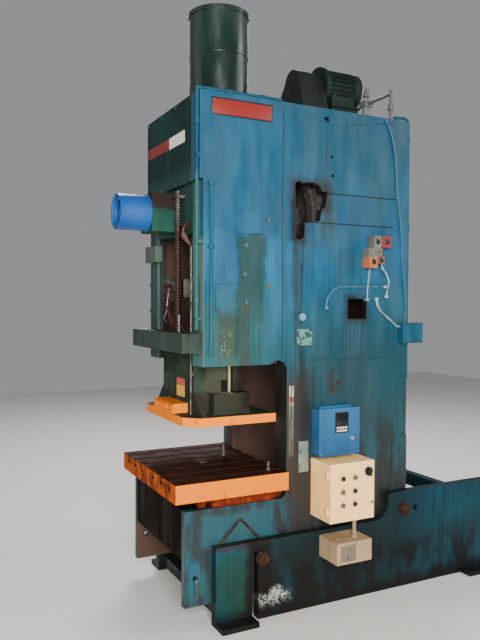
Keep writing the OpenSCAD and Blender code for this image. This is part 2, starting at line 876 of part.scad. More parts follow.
module side_hoses() {
    x = side_x + 20;
    low_x = side_x + 7;
    color("#8a9a94") {
        pipe([[x, 34, 1804], [x, 34, 1782], [x, 28, 1740], [x, 22, 1690], [x, 19, 1636]], 5);
        pipe([[x + 26, 100, 1827], [x + 26, 100, 1806], [x + 14, 142, 1772], [x, 172, 1730],
              [x, 152, 1654]], 5);
        pipe([[x, 83, 1640], [x, 90, 1600], [x, 112, 1566], [x, 170, 1525], [x, 230, 1480],
              [x, junction_y, 1480]], 7);
        pipe([[low_x, -245, 1589], [low_x, -232, 1640], [low_x, -200, 1680], [low_x, -150, 1700],
              [low_x, 146, 1703]], 5);
        for (p = [[19, 1630], [152, 1648], [83, 1634]])
            bar_x([side_x, p[0], p[1]], 28, 10);
        bar_x([side_x, -398, 1536], 22, 20);
        bar_x([side_x, -245, 1584], 20, 9);
        bar_x([side_x, 146, 1703], 20, 9);
    }
}

module junction_box() {
    color("#3f7fa0") {
        block([side_x, junction_y, 1385], [side_x + 50, junction_y + 145, 1500]);
        block([side_x + 50, junction_y + 5, 1390], [side_x + 54, junction_y + 140, 1495]);
    }
}

module air_valve() {
    color("#9a9a8c") {
        block([side_x, 4, 1870], [side_x + 54, 100, 1915]);
        block([side_x, 36, 1915], [side_x + 60, 88, 1981]);
        block([side_x, 88, 1915], [side_x + 40, 94, 1960]);
        block([side_x, 94, 1918], [side_x + 60, 154, 1981]);
        block([side_x, 4, 1804], [side_x + 62, 58, 1870]);
        block([side_x, 58, 1840], [side_x + 40, 62, 1870]);
        block([side_x, 62, 1827], [side_x + 58, 110, 1870]);
        for (z = [1881, 1904]) bar_x([side_x + 54, 20, z], 6, 8);
    }
}

module monitor_box() {
    lid_t = 12;
    color("#3d76ae") difference() {
        union() {
            block([side_x, monitor_y + 4, monitor_z + 4],
                  [monitor_x - lid_t, monitor_y + monitor_w - 4, monitor_z + monitor_h - 4]);
            block([monitor_x - lid_t, monitor_y, monitor_z],
                  [monitor_x, monitor_y + monitor_w, monitor_z + monitor_h]);
            block([side_x, monitor_y + 30, monitor_z + monitor_h - 4],
                  [monitor_x - 40, monitor_y + monitor_w - 30, monitor_z + monitor_h + 8]);
        }
        block([monitor_x - 4, monitor_y + 105, monitor_z + 128],
              [monitor_x + cut, monitor_y + 180, monitor_z + 225]);
        bar_x([monitor_x - 16, key_y, key_z], 17, key_r + running_gap);
    }
}

module control_box() {
    color("#f0d0a8") difference() {
        block([side_x, control_y, control_z], [door_x, control_y + control_w, control_z + control_h]);
        block([side_x + control_shell, control_y + control_shell, control_z + control_shell],
              [door_x + cut, control_y + control_w - control_shell, control_z + control_h - control_shell]);
    }
    color("#f0d0a8") for (z = hinge_zs) {
        for (dz = [0, 2 * knuckle]) {
            bar_z([door_x, hinge_y, z + dz], knuckle, hinge_r);
            block([door_x - 16, hinge_y + 3, z + dz], [door_x - 0.5, control_y, z + dz + knuckle]);
        }
        bar_z([door_x, hinge_y, z], 3 * knuckle, hinge_pin_r);
    }
}

module control_door() {
    rear_y = control_y + control_w;
    top_z = control_z + control_h;
    color("#f0d0a8") difference() {
        block([door_x + 0.2, control_y, control_z], [door_face_x, rear_y, top_z]);
        block([door_x - cut, control_y + control_shell, control_z + control_shell],
              [door_face_x - control_shell, rear_y - control_shell, top_z - control_shell]);
        for (y = button_cols) for (z = button_rows)
            bar_x([door_x, y, z], door_t + cut, stem_r + running_gap);
        bar_x([door_x, selector_y, selector_z], door_t + cut, stem_r + running_gap);
    }
    color("#c8c0b0") for (y = button_cols) for (z = button_rows) difference() {
        bar_x([door_face_x - 0.5, y, z], 3.5, button_r + 3);
        bar_x([door_face_x - cut, y, z], 6, stem_r + running_gap);
    }
    color("#f0d0a8") for (z = hinge_zs) difference() {
        union() {
            bar_z([door_x, hinge_y, z + knuckle + 0.2], knuckle - 0.4, hinge_r);
            block([door_x + 0.5, hinge_y + 3, z + knuckle + 0.2],
                  [door_x + 16, control_y + 1, z + 2 * knuckle - 0.2]);
        }
        bar_z([door_x, hinge_y, z], 3 * knuckle, hinge_pin_r + running_gap);
    }
}

module push_button(col, row) {
    p = [door_face_x + 3 + button_travel + 1, button_cols[col], button_rows[row]];
    bar_x(p, 9, button_r);
    bar_x([door_face_x - control_shell - 0.5, p[1], p[2]], p[0] - door_face_x + control_shell + 0.5, stem_r);
    bar_x([door_face_x - control_shell - 3.5, p[1], p[2]], 3, stem_r + 4);
}

module button_1() {
    color("#5a4638") push_button(0, 0);
}

module button_2() {
    color("#8a7a68") push_button(1, 0);
}

module button_3() {
    color("#5a4638") push_button(0, 1);
}

module button_4() {
    color("#1c1a18") push_button(1, 1);
}

module button_5() {
    color("#6a5a4a") push_button(0, 2);
}

module button_6() {
    color("#1c1a18") push_button(1, 2);
}

module selector_handle() {
    x = door_face_x + 0.5;
    color("#161616") {
        bar_x([x, selector_y, selector_z], 10, 24);
        block([x + 10, selector_y - 8, selector_z - 22], [x + 24, selector_y + 8, selector_z + 22]);
        bar_x([door_face_x - control_shell - 0.5, selector_y, selector_z], control_shell + 1, stem_r);
        bar_x([door_face_x - control_shell - 3.5, selector_y, selector_z], 3, stem_r + 4);
    }
}

module key_switch() {
    color("#c0c0b8") difference() {
        union() {
            bar_x([monitor_x - 15, key_y, key_z], 15.5, key_r);
            bar_x([monitor_x + 0.5, key_y, key_z], 8, 11);
        }
        block([monitor_x + 4, key_y - 1.5, key_z - 6], [monitor_x + 10, key_y + 1.5, key_z + 6]);
    }
}

module meter_box() {
    x = leg_x + meter_depth;
    nipple_y = control_y + 172;
    color("#b09a88") difference() {
        block([leg_x, meter_y, meter_z], [x, meter_y + meter_w, meter_z + meter_h]);
        block([x - 4, meter_y + 22, meter_z + 16], [x + cut, meter_y + 115, meter_z + 96]);
    }
    color("#c0b090") {
        bar_z([leg_x + 105, nipple_y, meter_z + meter_h], control_z - meter_z - meter_h, 10);
        bar_z([leg_x + 105, nipple_y, meter_z + meter_h], 14, 17);
        bar_z([leg_x + 105, nipple_y, control_z - 12], 12, 17);
    }
}

reg_y = motor_y + motor_len + 103;

module filter_regulator() {
    color("#b8b8a8") {
        bar_z([motor_x, reg_y, body_top_z], 250, 10);
        bar_z([motor_x, reg_y, body_top_z], 12, 26);
        bar_z([motor_x, reg_y, body_top_z + 60], 74, 27);
        block([motor_x - 30, reg_y - 30, body_top_z + 134], [motor_x + 30, reg_y + 30, body_top_z + 170]);
        bar_z([motor_x, reg_y, body_top_z + 196], 40, 20);
        bar_x([motor_x, reg_y, body_top_z + 152], 230, 9);
        bar_z([motor_x + 230, reg_y, body_top_z], 175, 10);
        bar_z([motor_x + 230, reg_y, body_top_z + 60], 30, 18);
    }
}

module terminal_box() {
    color("#a8b0a4") difference() {
        block([-360, head_front_y - 42, 1838], [-190, head_front_y, 1930]);
        for (x = [-350, -200]) for (z = [1848, 1920]) bar_y([x, head_front_y - 43, z], 4, 4);
    }
}

// Ribbed flexible conduit from the drum housing down to the tie bar
module spiral_conduit() {
    x = housing_w / 2 + 32;
    y = head_front_y - 30;
    top_z = crank_z + 110;
    low_z = tie_z + tie_h;
    rib = 16;
    low_r = 13;
    high_r = 17;
    profile = [[low_r, 0], [high_r, 5], [high_r, 9], [low_r, 14]];
    color("#5a4a40") {
        translate([x, y, low_z]) rotate_extrude($fn = 32) polygon(concat(
            [[0, 0]],
            [for (i = [0 : floor((top_z - low_z) / rib) - 1]) for (p = profile) [p[0], p[1] + i * rib]],
            [[low_r, top_z - low_z], [0, top_z - low_z]]
        ));
        block([x - 20, y - 20, top_z - 40], [x + 30, head_front_y, top_z - 24]);
    }
}

cavity_x = 150;
cavity_y = 110;
seat_z = ball_z - ball_r - 2 * crank_throw - 4;

module slide_outline() {
    w = slide_w / 2;
    polygon([[-w, slide_front_y], [w, slide_front_y],
             [w, press_y - way_half], [way_x, press_y - way_tip], [way_x, press_y + way_tip],
             [w, press_y + way_half], [w, slide_rear_y], [-w, slide_rear_y],
             [-w, press_y + way_half], [-way_x, press_y + way_tip], [-way_x, press_y - way_tip],
             [-w, press_y - way_half]]);
}

module flange_outline() {
    w = flange_w / 2;
    c = 70;
    polygon([[-w + c, flange_front_y], [w - c, flange_front_y], [w, flange_front_y + c],
             [w, flange_front_y + flange_len], [-w, flange_front_y + flange_len], [-w, flange_front_y + c]]);
}

clamp_block_w = 284;
clamp_block_h = 50;
clamp_bolt_x = 80;
flange_bolt_x = 480;
flange_bolt_y = 360;
flange_bolt_r = 11;

module slide_body() {
    gusset_h = 115;
    foot_h = 110;
    foot_step = 20;
    recess_w = 34;
    recess_h = 60;
    recess_t = 12;
    color("#5f8f80") difference() {
        union() {
            translate([0, 0, slide_face_z]) linear_extrude(flange_t) flange_outline();
            block([-slide_w / 2, slide_front_y, flange_top_z],
                  [slide_w / 2, slide_rear_y, flange_top_z + foot_h]);
            block([-way_x, press_y - way_half + foot_step, flange_top_z],
                  [way_x, slide_rear_y, flange_top_z + foot_h]);
            translate([0, 0, flange_top_z + foot_h]) linear_extrude(slide_h - foot_h) slide_outline();
            both_sides() xz_plate(slide_front_y, 30)
                polygon([[slide_w / 2, flange_top_z], [flange_w / 2 - 15, flange_top_z],
                         [slide_w / 2, flange_top_z + gusset_h]]);
            both_sides() block([cyl_x - 30, slide_rear_y, slide_top_z - 60],
                               [cyl_x + 30, cyl_y + 25, slide_top_z]);
        }
        block([-cavity_x, press_y - cavity_y, seat_z], [cavity_x, press_y + cavity_y, slide_top_z + cut]);
        bar_z([0, press_y, slide_face_z - cut], 86 + cut, shank_d / 2);
        for (x = [-1, 1]) for (y = [-1, 1])
            bar_z([x * flange_bolt_x / 2, press_y + y * flange_bolt_y / 2, slide_face_z - cut],
                  flange_t + 2 * cut, flange_bolt_r);
        bar_z([0, press_y, seat_z - 20], 21, ball_r - 10);
        both_sides() block([way_x - recess_t, press_y - recess_w / 2, flange_top_z + foot_h + 10],
                           [way_x + cut, press_y + recess_w / 2, flange_top_z + foot_h + 10 + recess_h]);
    }
}

module shank_clamp() {
    front_y = flange_front_y - 3;
    top_z = flange_top_z + clamp_block_h;
    color("#f9a040") difference() {
        block([-clamp_block_w / 2, front_y, flange_top_z], [clamp_block_w / 2, slide_front_y, top_z]);
        for (x = [-clamp_bolt_x, clamp_bolt_x])
            bar_y([x, front_y - cut, flange_top_z + clamp_block_h / 2], 18, 16);
        translate([0, front_y, top_z]) rotate([0, 90, 0])
            cylinder(h = clamp_block_w + 2 * cut, r = 9, center = true, $fn = 4);
    }
    color("#3a3430") for (x = [-clamp_bolt_x, clamp_bolt_x]) difference() {
        bar_y([x, front_y + 5, flange_top_z + clamp_block_h / 2], 13, 12);
        hex_y([x, front_y + 5 - cut, flange_top_z + clamp_block_h / 2], 7, 12);
    }
}

module gauge_rod() {
    x = slide_w / 2 - 15;
    y = slide_front_y - 9;
    color("#b8b8b0") {
        bar_z([x, y, flange_top_z], 870, 5);
        for (z = [flange_top_z + 200, slide_top_z - 40])
            block([x - 10, y - 6, z], [x + 10, slide_front_y, z + 16]);
    }
}

module crankshaft() {
    z = crank_z + crank_throw;
    color("#8a8a84") {
        bar_y([0, drum_front_y + 70, crank_z], head_front_y - drum_front_y - 70, stub_r);
        bar_y([0, drum_front_y + 90, crank_z], 20, drum_d / 2 - 26);
        bar_y([0, head_front_y, crank_z], web_front_y - head_front_y, journal_r);
        for (y = [web_front_y, web_rear_y]) {
            bar_y([0, y, crank_z], web_t, web_r);
            bar_y([0, y, z], web_t, web_r);
            block([-web_r, y, crank_z], [web_r, y + web_t, z]);
        }
        bar_y([0, web_front_y + web_t, z], strap_w + 2 * pin_gap, crank_pin_r);
        bar_y([0, web_rear_y + web_t, crank_z], crank_rear_y - web_rear_y - web_t, journal_r);
    }
}

module clutch_hub() {
    color("#6a3a2c") difference() {
        union() {
            bar_y([0, clutch_y, crank_z], clutch_w, 110);
            bar_y([0, clutch_y + 15, crank_z], 22, clutch_r);
            bar_y([0, clutch_y + 50, crank_z], 22, clutch_r - 20);
        }
        bar_y([0, clutch_y - cut, crank_z], clutch_w + 2 * cut, journal_r + 0.05);
    }
}

module brake_disc() {
    y = rear_wall_y + wall_t + 20;
    color("#5a5a54") difference() {
        union() {
            bar_y([0, y, crank_z], 50, 95);
            bar_y([0, y + 14, crank_z], 20, brake_r);
        }
        bar_y([0, y - cut, crank_z], 52, journal_r + 0.05);
    }
}

module connection_strap() {
    z = crank_z + crank_throw;
    neck_w = 62;
    neck_z = ball_z + 300;
    color("#6a6a5c") difference() {
        union() {
            bar_y([0, press_y - strap_w / 2, z], strap_w, strap_r);
            block([-neck_w, press_y - strap_w / 2, neck_z], [neck_w, press_y + strap_w / 2, z - 60]);
            for (s = [-1, 1])
                block([s * strap_r - 26, press_y - 40, z - 30], [s * strap_r + 26, press_y + 40, z + 30]);
            for (s = [-1, 1]) for (dy = [-22, 22])
                bar_z([s * (strap_r + 8), press_y + dy, z - 46], 96, 10);
        }
        bar_y([0, press_y - strap_w / 2 - cut, z], strap_w + 2 * cut, crank_pin_r + running_gap);
        bar_z([0, press_y, neck_z - cut], z - crank_pin_r - 36 - neck_z, screw_r + running_gap);
    }
}

module adjusting_screw() {
    collar_z = ball_z + 200;
    color("#9a9a90") {
        translate([0, press_y, ball_z]) sphere(r = ball_r, $fn = 48);
        bar_z([0, press_y, ball_z], 200, screw_r - 6);
        difference() {
            bar_z([0, press_y, collar_z], 56, 58);
            for (i = [0 : 11]) rotate_about([0, press_y], i * 30)
                block([52, press_y - 4, collar_z - cut], [62, press_y + 4, collar_z + 57]);
        }
        bar_z([0, press_y, collar_z + 56], 190, screw_r);
    }
}

// Turn the children about a vertical line through c
module rotate_about(c, a) {
    translate([c[0], c[1], 0]) rotate(a) translate([-c[0], -c[1], 0]) children();
}

left_side_plate();
right_side_plate();
top_plate();
back_plate();
crown_wall();
rear_wall();
gib_cheeks();
front_cover();
tie_bar();
front_bearing_beam();
crank_bushes();
slide_gibs();
gib_bolts();
bed();
packing_bars();
bolster();
t_studs();
left_leg();
right_leg();
leg_ties();
clamp_bolts();
motor_base();
motor();
belt_guard();
drive_belts();
air_tank();
counterbalance_cylinders();
crank_end_drum();
drum_housing();
adjuster_covers();
edge_conduits();
side_hoses();
junction_box();
air_valve();
monitor_box();
control_box();
meter_box();
filter_regulator();
terminal_box();
spiral_conduit();
slide_body();
shank_clamp();
counterbalance_rods();
gauge_rod();
crankshaft();
clutch_hub();
brake_disc();
connection_strap();
adjusting_screw();
flywheel();
motor_pulley();
control_door();
button_1();
button_2();
button_3();
button_4();
button_5();
button_6();
selector_handle();
key_switch();
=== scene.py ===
import bmesh
import bpy
import numpy as np
from mathutils import Matrix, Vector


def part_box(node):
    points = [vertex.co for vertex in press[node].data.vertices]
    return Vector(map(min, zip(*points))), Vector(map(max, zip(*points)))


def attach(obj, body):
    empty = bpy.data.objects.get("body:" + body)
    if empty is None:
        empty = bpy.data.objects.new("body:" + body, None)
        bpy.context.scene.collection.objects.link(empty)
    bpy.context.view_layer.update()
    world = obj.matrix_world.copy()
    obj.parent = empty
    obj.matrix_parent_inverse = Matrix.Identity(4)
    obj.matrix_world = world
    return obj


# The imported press, in metres. +X is the press's right, -Y its front, and the floor is z = 0.
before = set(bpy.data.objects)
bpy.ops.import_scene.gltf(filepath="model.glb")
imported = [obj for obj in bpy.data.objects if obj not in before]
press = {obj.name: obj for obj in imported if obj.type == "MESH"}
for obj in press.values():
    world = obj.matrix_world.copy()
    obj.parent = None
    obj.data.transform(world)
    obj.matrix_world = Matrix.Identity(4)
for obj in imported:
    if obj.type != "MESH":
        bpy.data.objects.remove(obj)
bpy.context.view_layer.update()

# Camera: at eye height off the press's right front corner, its lens a little longer than normal.
# Yaw is counted from +Y towards -X; the slight pitch and roll are those of the photograph.
yaw, pitch, roll = np.radians([63.2, -1.3118, -0.2327])
ahead = np.array([-np.sin(yaw) * np.cos(pitch), np.cos(yaw) * np.cos(pitch), np.sin(pitch)])
level = np.array([np.cos(yaw), np.sin(yaw), 0])
down = np.cross(ahead, level)
across = level * np.cos(roll) + down * np.sin(roll)
below = down * np.cos(roll) - level * np.sin(roll)
eye = bpy.data.objects.new("eye", bpy.data.cameras.new("eye"))
bpy.context.scene.collection.objects.link(eye)
eye.data.lens = 37.94
eye.data.clip_end = 60
turn = Matrix([*zip(across, -below, -ahead)]).to_4x4()
eye.matrix_world = Matrix.Translation((3.420, -2.290, 1.600)) @ turn
bpy.context.scene.camera = eye


def linear(code):
    """sRGB hex to linear colour: c / 12.92 up to 0.04045, and ((c + 0.055) / 1.055) ^ 2.4 above."""
    c = np.array([int(code[i : i + 2], 16) for i in (1, 3, 5)]) / 255
    return (*np.where(c <= 0.04045, c / 12.92, ((c + 0.055) / 1.055) ** 2.4), 1.0)


def feed(target, inputs):
    """Sets a node's inputs by name or number: a value is set, a socket is linked."""
    for key, value in inputs.items():
        if isinstance(value, bpy.types.NodeSocket):
            target.id_data.links.new(value, target.inputs[key])
        else:
            target.inputs[key].default_value = value


def node(tree, kind, inputs=None, **settings):
    """Adds a shader node: settings are its own properties, inputs are values or sockets to link."""
    made = tree.nodes.new("ShaderNode" + kind)
    for key, value in settings.items():
        setattr(made, key, value)
    feed(made, inputs or {})
    return made


# Floor and light: a plain pale studio floor under soft lights. One large light stands to the
# right of the camera, one over the press's front left, one behind its rear right corner and one
# off its left side.
floor = bpy.data.objects.new("floor", bpy.data.meshes.new("floor"))
floor.data.from_pydata([(-9, -9, 0), (9, -9, 0), (9, 9, 0), (-9, 9, 0)], [], [(0, 1, 2, 3)])
bpy.context.scene.collection.objects.link(floor)
concrete = bpy.data.materials.new("pale floor")
concrete.use_nodes = True
matt = {"Base Color": linear("#d6d4ce"), "Roughness": 0.8}
feed(concrete.node_tree.nodes["Principled BSDF"], matt)
floor.data.materials.append(concrete)
for name, place, aim, size, power in (
    ("key light", (5.6, -2.9, 2.3), (0, -0.5, 1.2), 2.4, 780),
    ("front light", (-2.0, -6.0, 4.0), (0, -0.5, 1.3), 3.5, 25),
    ("back light", (2.2, 5.0, 4.2), (0, 0, 1.8), 2.0, 150),
    ("left light", (-3.9, 1.0, 5.2), (-0.3, 0, 1.4), 2.5, 300),
):
    lamp = bpy.data.objects.new(name, bpy.data.lights.new(name, "AREA"))
    lamp.data.size = size
    lamp.data.energy = power
    away = np.array(place) - aim
    away = away / np.linalg.norm(away)
    level = np.cross((0, 0, 1), away)
    level = level / np.linalg.norm(level)
    turn = Matrix([*zip(level, np.cross(away, level), away)]).to_4x4()
    lamp.matrix_world = Matrix.Translation(place) @ turn
    bpy.context.scene.collection.objects.link(lamp)
studio = bpy.data.worlds.new("studio")
studio.use_nodes = True
feed(studio.node_tree.nodes["Background"], {"Color": linear("#e6e8ea"), "Strength": 0.38})
bpy.context.scene.world = studio


# Side plates: flame-cut steel plate 40 mm thick, one C-shaped piece a side, brushed with blue
# enamel many years ago. The paint has faded, oil has run down it, and the edges are chipped.
def material(name):
    """A new material: itself, its tree, its Object coordinates and its shader."""
    made = bpy.data.materials.new(name)
    made.use_nodes = True
    tree = made.node_tree
    return made, tree, node(tree, "TexCoord").outputs["Object"], tree.nodes["Principled BSDF"]


def cloud(where, size, low, high, draw=(1, 1, 1)):
    """0 to 1 as a noise of that size in metres, drawn out by draw along each axis, goes low to high.

    The coordinates' socket, where, knows the tree that it is in: its id_data.
    """
    tree = where.id_data
    scale = [1 / (size * d) for d in draw]
    spread = node(tree, "Mapping", {"Vector": where, "Scale": scale})
    noise = node(tree, "TexNoise", {"Vector": spread.outputs[0], "Scale": 1.0, "Detail": 5.0})
    limits = {"Value": noise.outputs[0], "From Min": low, "From Max": high}
    return node(tree, "MapRange", limits, interpolation_type="SMOOTHSTEP").outputs[0]


def frayed(where, reach):
    """The coordinates, shifted by a noise of up to about reach metres, to fray a stain's edge."""
    tree = where.id_data
    noise = node(tree, "TexNoise", {"Vector": where, "Scale": 16.0, "Detail": 5.0})
    centred = node(tree, "VectorMath", {0: noise.outputs["Color"], 1: (0.5,) * 3}, operation="SUBTRACT")
    shift = {0: centred.outputs[0], 1: (2 * reach,) * 3, 2: where}
    return node(tree, "VectorMath", shift, operation="MULTIPLY_ADD").outputs[0]


def window(where, soft, x=(None, None), y=(None, None), z=(None, None)):
    """1 between each axis's two bounds in metres, fading over soft; None leaves a side open."""
    tree = where.id_data
    axes = node(tree, "SeparateXYZ", {0: where})
    amount = None
    for axis, bounds in enumerate((x, y, z)):
        for bound, rise in zip(bounds, (soft, -soft)):
            if bound is None:
                continue
            limits = {"Value": axes.outputs[axis], "From Min": bound - rise, "From Max": bound + rise}
            edge = node(tree, "MapRange", limits, interpolation_type="SMOOTHSTEP").outputs[0]
            if amount is None:
                amount = edge
            else:
                amount = node(tree, "Math", {0: amount, 1: edge}, operation="MULTIPLY").outputs[0]
    return amount


def coated(tree, first, coats):
    """The colour after each coat: (hex, mask, mask, ...) lies as thick as its masks multiplied."""
    colour = linear(first)
    for top, *masks in coats:
        amount = masks[0]
        for mask in masks[1:]:
            amount = node(tree, "Math", {0: amount, 1: mask}, operation="MULTIPLY").outputs[0]
        colour = node(tree, "Mix", {0: amount, 6: colour, 7: linear(top)}, data_type="RGBA").outputs[2]
    return colour


def rounded(tree, reach):
    """A normal that rounds every edge by reach metres, and a mask that is 1 on those edges."""
    bent = node(tree, "Bevel", {"Radius": reach}, samples=4).outputs[0]
    flat = node(tree, "NewGeometry").outputs["Normal"]
    match = node(tree, "VectorMath", {0: bent, 1: flat}, operation="DOT_PRODUCT").outputs["Value"]
    limits = {"Value": match, "From Min": 0.995, "From Max": 0.86}
    return bent, node(tree, "MapRange", limits).outputs[0]


def old_enamel(
    name, paint, faded, dark, chip, stains=None, gloss=0.42, wear=0.5, streak=0.55, shine=0.4
):
    """Brushed enamel over steel: faded in clouds, streaked downwards, chipped at its edges."""
    made, tree, where, shader = material(name)
    bent, edge = rounded(tree, 0.003)
    coats = [
        (faded, cloud(where, 0.45, 0.38, 0.66)),
        (dark, cloud(where, 0.05, 0.5, 0.78, (1, 1, 6)), streak),
        (faded, cloud(where, 0.03, 0.55, 0.8, (1, 1, 4)), 0.4),
        (dark, cloud(where, 0.012, 0.62, 0.8), 0.3),
    ]
    if stains:
        coats += stains(where)
    coats.append((chip, edge, cloud(where, 0.03, 0.62 - 0.3 * wear, 0.72 - 0.3 * wear)))
    coats.append((chip, cloud(where, 0.008, 0.74, 0.78), 0.8))
    colour = coated(tree, paint, coats)
    patchy = cloud(where, 0.09, 0.3, 0.7, (1, 1, 4))
    dull = {"Value": patchy, "To Min": gloss - 0.1, "To Max": gloss + 0.2}
    rough = node(tree, "MapRange", dull).outputs[0]
    strokes = cloud(where, 0.006, 0.3, 0.7, (1, 1, 5))
    brushed = {"Height": strokes, "Normal": bent, "Strength": 0.12, "Distance": 0.001}
    bump = node(tree, "Bump", brushed).outputs[0]
    feed(shader, {"Base Color": colour, "Roughness": rough, "Specular IOR Level": shine, "Normal": bump})
    return made


def right_side_stains_and_shade(where):
    """Oil below the windows and plates, teal lower down, grime, one clean panel by the floor, and painted
    shade on the plate's inner face and throat edge.
    """
    torn = frayed(where, 0.03)
    runs = cloud(where, 0.014, 0.42, 0.62, (1, 1, 50))
    fine = cloud(where, 0.005, 0.46, 0.7, (1, 1, 110))
    blotches = cloud(where, 0.07, 0.36, 0.62, (1, 1, 3))
    broad = cloud(where, 0.22, 0.38, 0.62, (1, 1, 2))
    small_cover = {"x": (0.3852, None), "y": (-0.422, -0.326), "z": (1.384, 1.474)}

    def area(soft, **bounds):
        return window(torn, soft, **bounds)

    return [
        # Darker towards the top.
        ("#0a3c50", area(0.25, z=(1.95, None)), 0.75),
        ("#0f464c", area(0.4, z=(None, 1.6)), 0.85),
        ("#2a4e52", area(0.3, y=(-0.4, None), z=(0.9, None)), broad, 0.45),
        ("#14343a", area(0.3, y=(-0.42, None), z=(None, 1.55)), 0.7),
        ("#0a3040", area(0.2, y=(-0.5, None), z=(2.4, None)), 0.4),
        ("#10282e", area(0.3, z=(0.6, 2.1)), fine, 0.42),
        ("#0d2c38", blotches, 0.25),
        ("#163434", area(0.012, y=(-0.775, -0.615), z=(1.50, 1.957)), 0.8),
        ("#1c2a1c", area(0.03, y=(-0.79, -0.62), z=(1.27, 1.66)), runs, 0.8),
        ("#10342e", area(0.02, y=(-0.76, -0.63), z=(1.55, 1.95)), blotches, 0.75),
        ("#1c4c4c", area(0.1, y=(None, -0.62), z=(1.2, 1.62)), 0.55),
        ("#1b2a1c", area(0.03, y=(-0.875, -0.75), z=(1.34, 1.55)), 0.8),
        ("#33432c", area(0.05, y=(-0.89, -0.74), z=(1.26, 1.5)), blotches, 0.6),
        ("#2a2c16", area(0.015, y=(-0.745, -0.706), z=(1.2, 1.6)), 0.65),
        ("#8c9c90", area(0.02, y=(-0.875, -0.80), z=(1.35, 1.46)),
         cloud(where, 0.009, 0.60, 0.64), 0.8),
        ("#121a18", area(0.04, y=(-0.46, -0.36), z=(1.25, 2.0)), runs, 0.7),
        ("#121a18", area(0.02, y=(-0.42, -0.395), z=(1.28, 1.98)), 0.6),
        ("#121a18", area(0.04, y=(-0.11, 0.05), z=(1.12, 1.54)), fine, 0.75),
        ("#12201e", area(0.06, y=(-0.3, 0.12), z=(0.9, 1.9)), fine, 0.35),
        ("#10100f", area(0.025, y=(-0.462, -0.215), z=(2.09, 2.25)), 0.85),
        ("#10100f", area(0.02, y=(-0.457, -0.37), z=(1.925, 2.15)), 0.9),
        ("#1d2420", area(0.05, y=(-0.47, -0.2), z=(1.92, 2.29)), blotches, 0.6),
        ("#1c1410", area(0.03, y=(-0.12, 0.045), z=(1.50, 1.655)), 0.6),
        ("#14100e", area(0.012, y=(-0.1, 0.03), z=(1.52, 1.64)), 0.7),
        ("#10181a", area(0.012, y=(-0.518, -0.503), z=(0.7, 2.62)), fine, 0.9),
        ("#2a1812", area(0.03, y=(-0.225, -0.13), z=(1.12, 1.25)), cloud(where, 0.05, 0.36, 0.5), 0.85),
        ("#5a3418", area(0.015, y=(0.262, 0.3), z=(1.39, 1.5)), 0.8),
        ("#1c150c", area(0.06, y=(-0.47, -0.32), z=(None, 1.25)), 0.8),
        ("#3a2414", area(0.03, y=(-0.52, -0.41), z=(0.6, 1.2)), 0.6),
        ("#1d201c", area(0.2, y=(-0.45, None), z=(None, 1.0)), blotches, 0.85),
        ("#1c1815", area(0.08, y=(-0.46, -0.3), z=(None, 1.3)), runs, 0.8),
        ("#1c1612", area(0.10, z=(None, 0.66)), cloud(where, 0.05, 0.34, 0.58, (1, 1, 3)), 0.85),
        ("#15464e", area(0.02, y=(-0.965, -0.585), z=(0.39, 0.55)), 0.8),
        ("#1c1612", area(0.3, z=(None, 0.55)), fine, 0.5),
        ("#124a48", area(0.03, y=(None, -0.925), z=(0.15, 0.5)), blotches, 0.7),
        ("#5f8a80", window(where, 0.0005, **small_cover), 0.85),
        ("#15302a", window(where, 0.0005, **small_cover), cloud(where, 0.02, 0.44, 0.56), 0.9),
        # Painted shade: the plate's inner face and throat edge, near black.
        ("#17130f", window(where, 0.0003, x=(None, 0.3846), y=(-0.90, None), z=(None, 2.60)), 0.93),
        ("#4c6458", window(where, 0.003, y=(None, head_front + 0.004), z=(1.28, 1.93)), 0.85),
    ]


head_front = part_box("gib_cheeks")[0].y


def inner_shade_and_grime(where):
    """Painted shade between the two side plates, greenish grime on the left one's front edge."""
    hidden = {"x": (-0.3456, 0.3456), "y": (None, rear - 0.002), "z": (None, top - 0.002)}
    return [
        ("#20302a", window(where, 0.01, x=(None, -0.3), y=(None, -0.9), z=(None, 2.2)), 0.85),
        # Painted shade: the throat and the head's inside, dark brown.
        ("#463228", window(where, 0.0005, **hidden), 0.95),
    ]


rear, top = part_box("back_plate")[1].y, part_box("top_plate")[1].z
side_enamel = old_enamel("old blue enamel", "#0c4e72", "#18668a", "#0b2c3a", "#3a2318", right_side_stains_and_shade)
plain_enamel = old_enamel(
    "old blue enamel, inner", "#0d3448", "#16485a", "#0a2028", "#3a2318", inner_shade_and_grime, shine=0.25
)


def paint_node(finish, *names):
    """Gives CAD nodes one finish: every material slot of each takes it."""
    for name in names:
        for place in press[name].material_slots:
            place.material = finish


paint_node(side_enamel, "right_side_plate", "adjuster_covers")
paint_node(
    plain_enamel, "left_side_plate", "top_plate", "back_plate", "crown_wall", "rear_wall", "junction_box"
)


# Head front: the pressed cover over the crank, the cheeks beside the opening, the beam that
# carries the front bearing and the housing in front of it, in dark teal enamel, oily and dull.
def cheek_darkening_and_shade(where):
    """The left cheek is darker, both cheeks' inner sides carry painted shade, and the right one's front is
    not darkened.
    """
    torn = frayed(where, 0.02)
    return [
        ("#1c241e", window(torn, 0.01, x=(None, -0.27)), 0.8),
        # Painted shade: the cheeks' sides, in the gaps beside the side plates.
        ("#17130f", window(where, 0.004, y=(-0.955, None)), 0.9),
    ]


def cover_stains(where):
    """The cover's lower edge and the beam's face are greyer, dusty with dried oil."""
    torn = frayed(where, 0.02)
    return [("#24403c", window(torn, 0.05, z=(None, cover_edge + 0.07)), 0.7)]


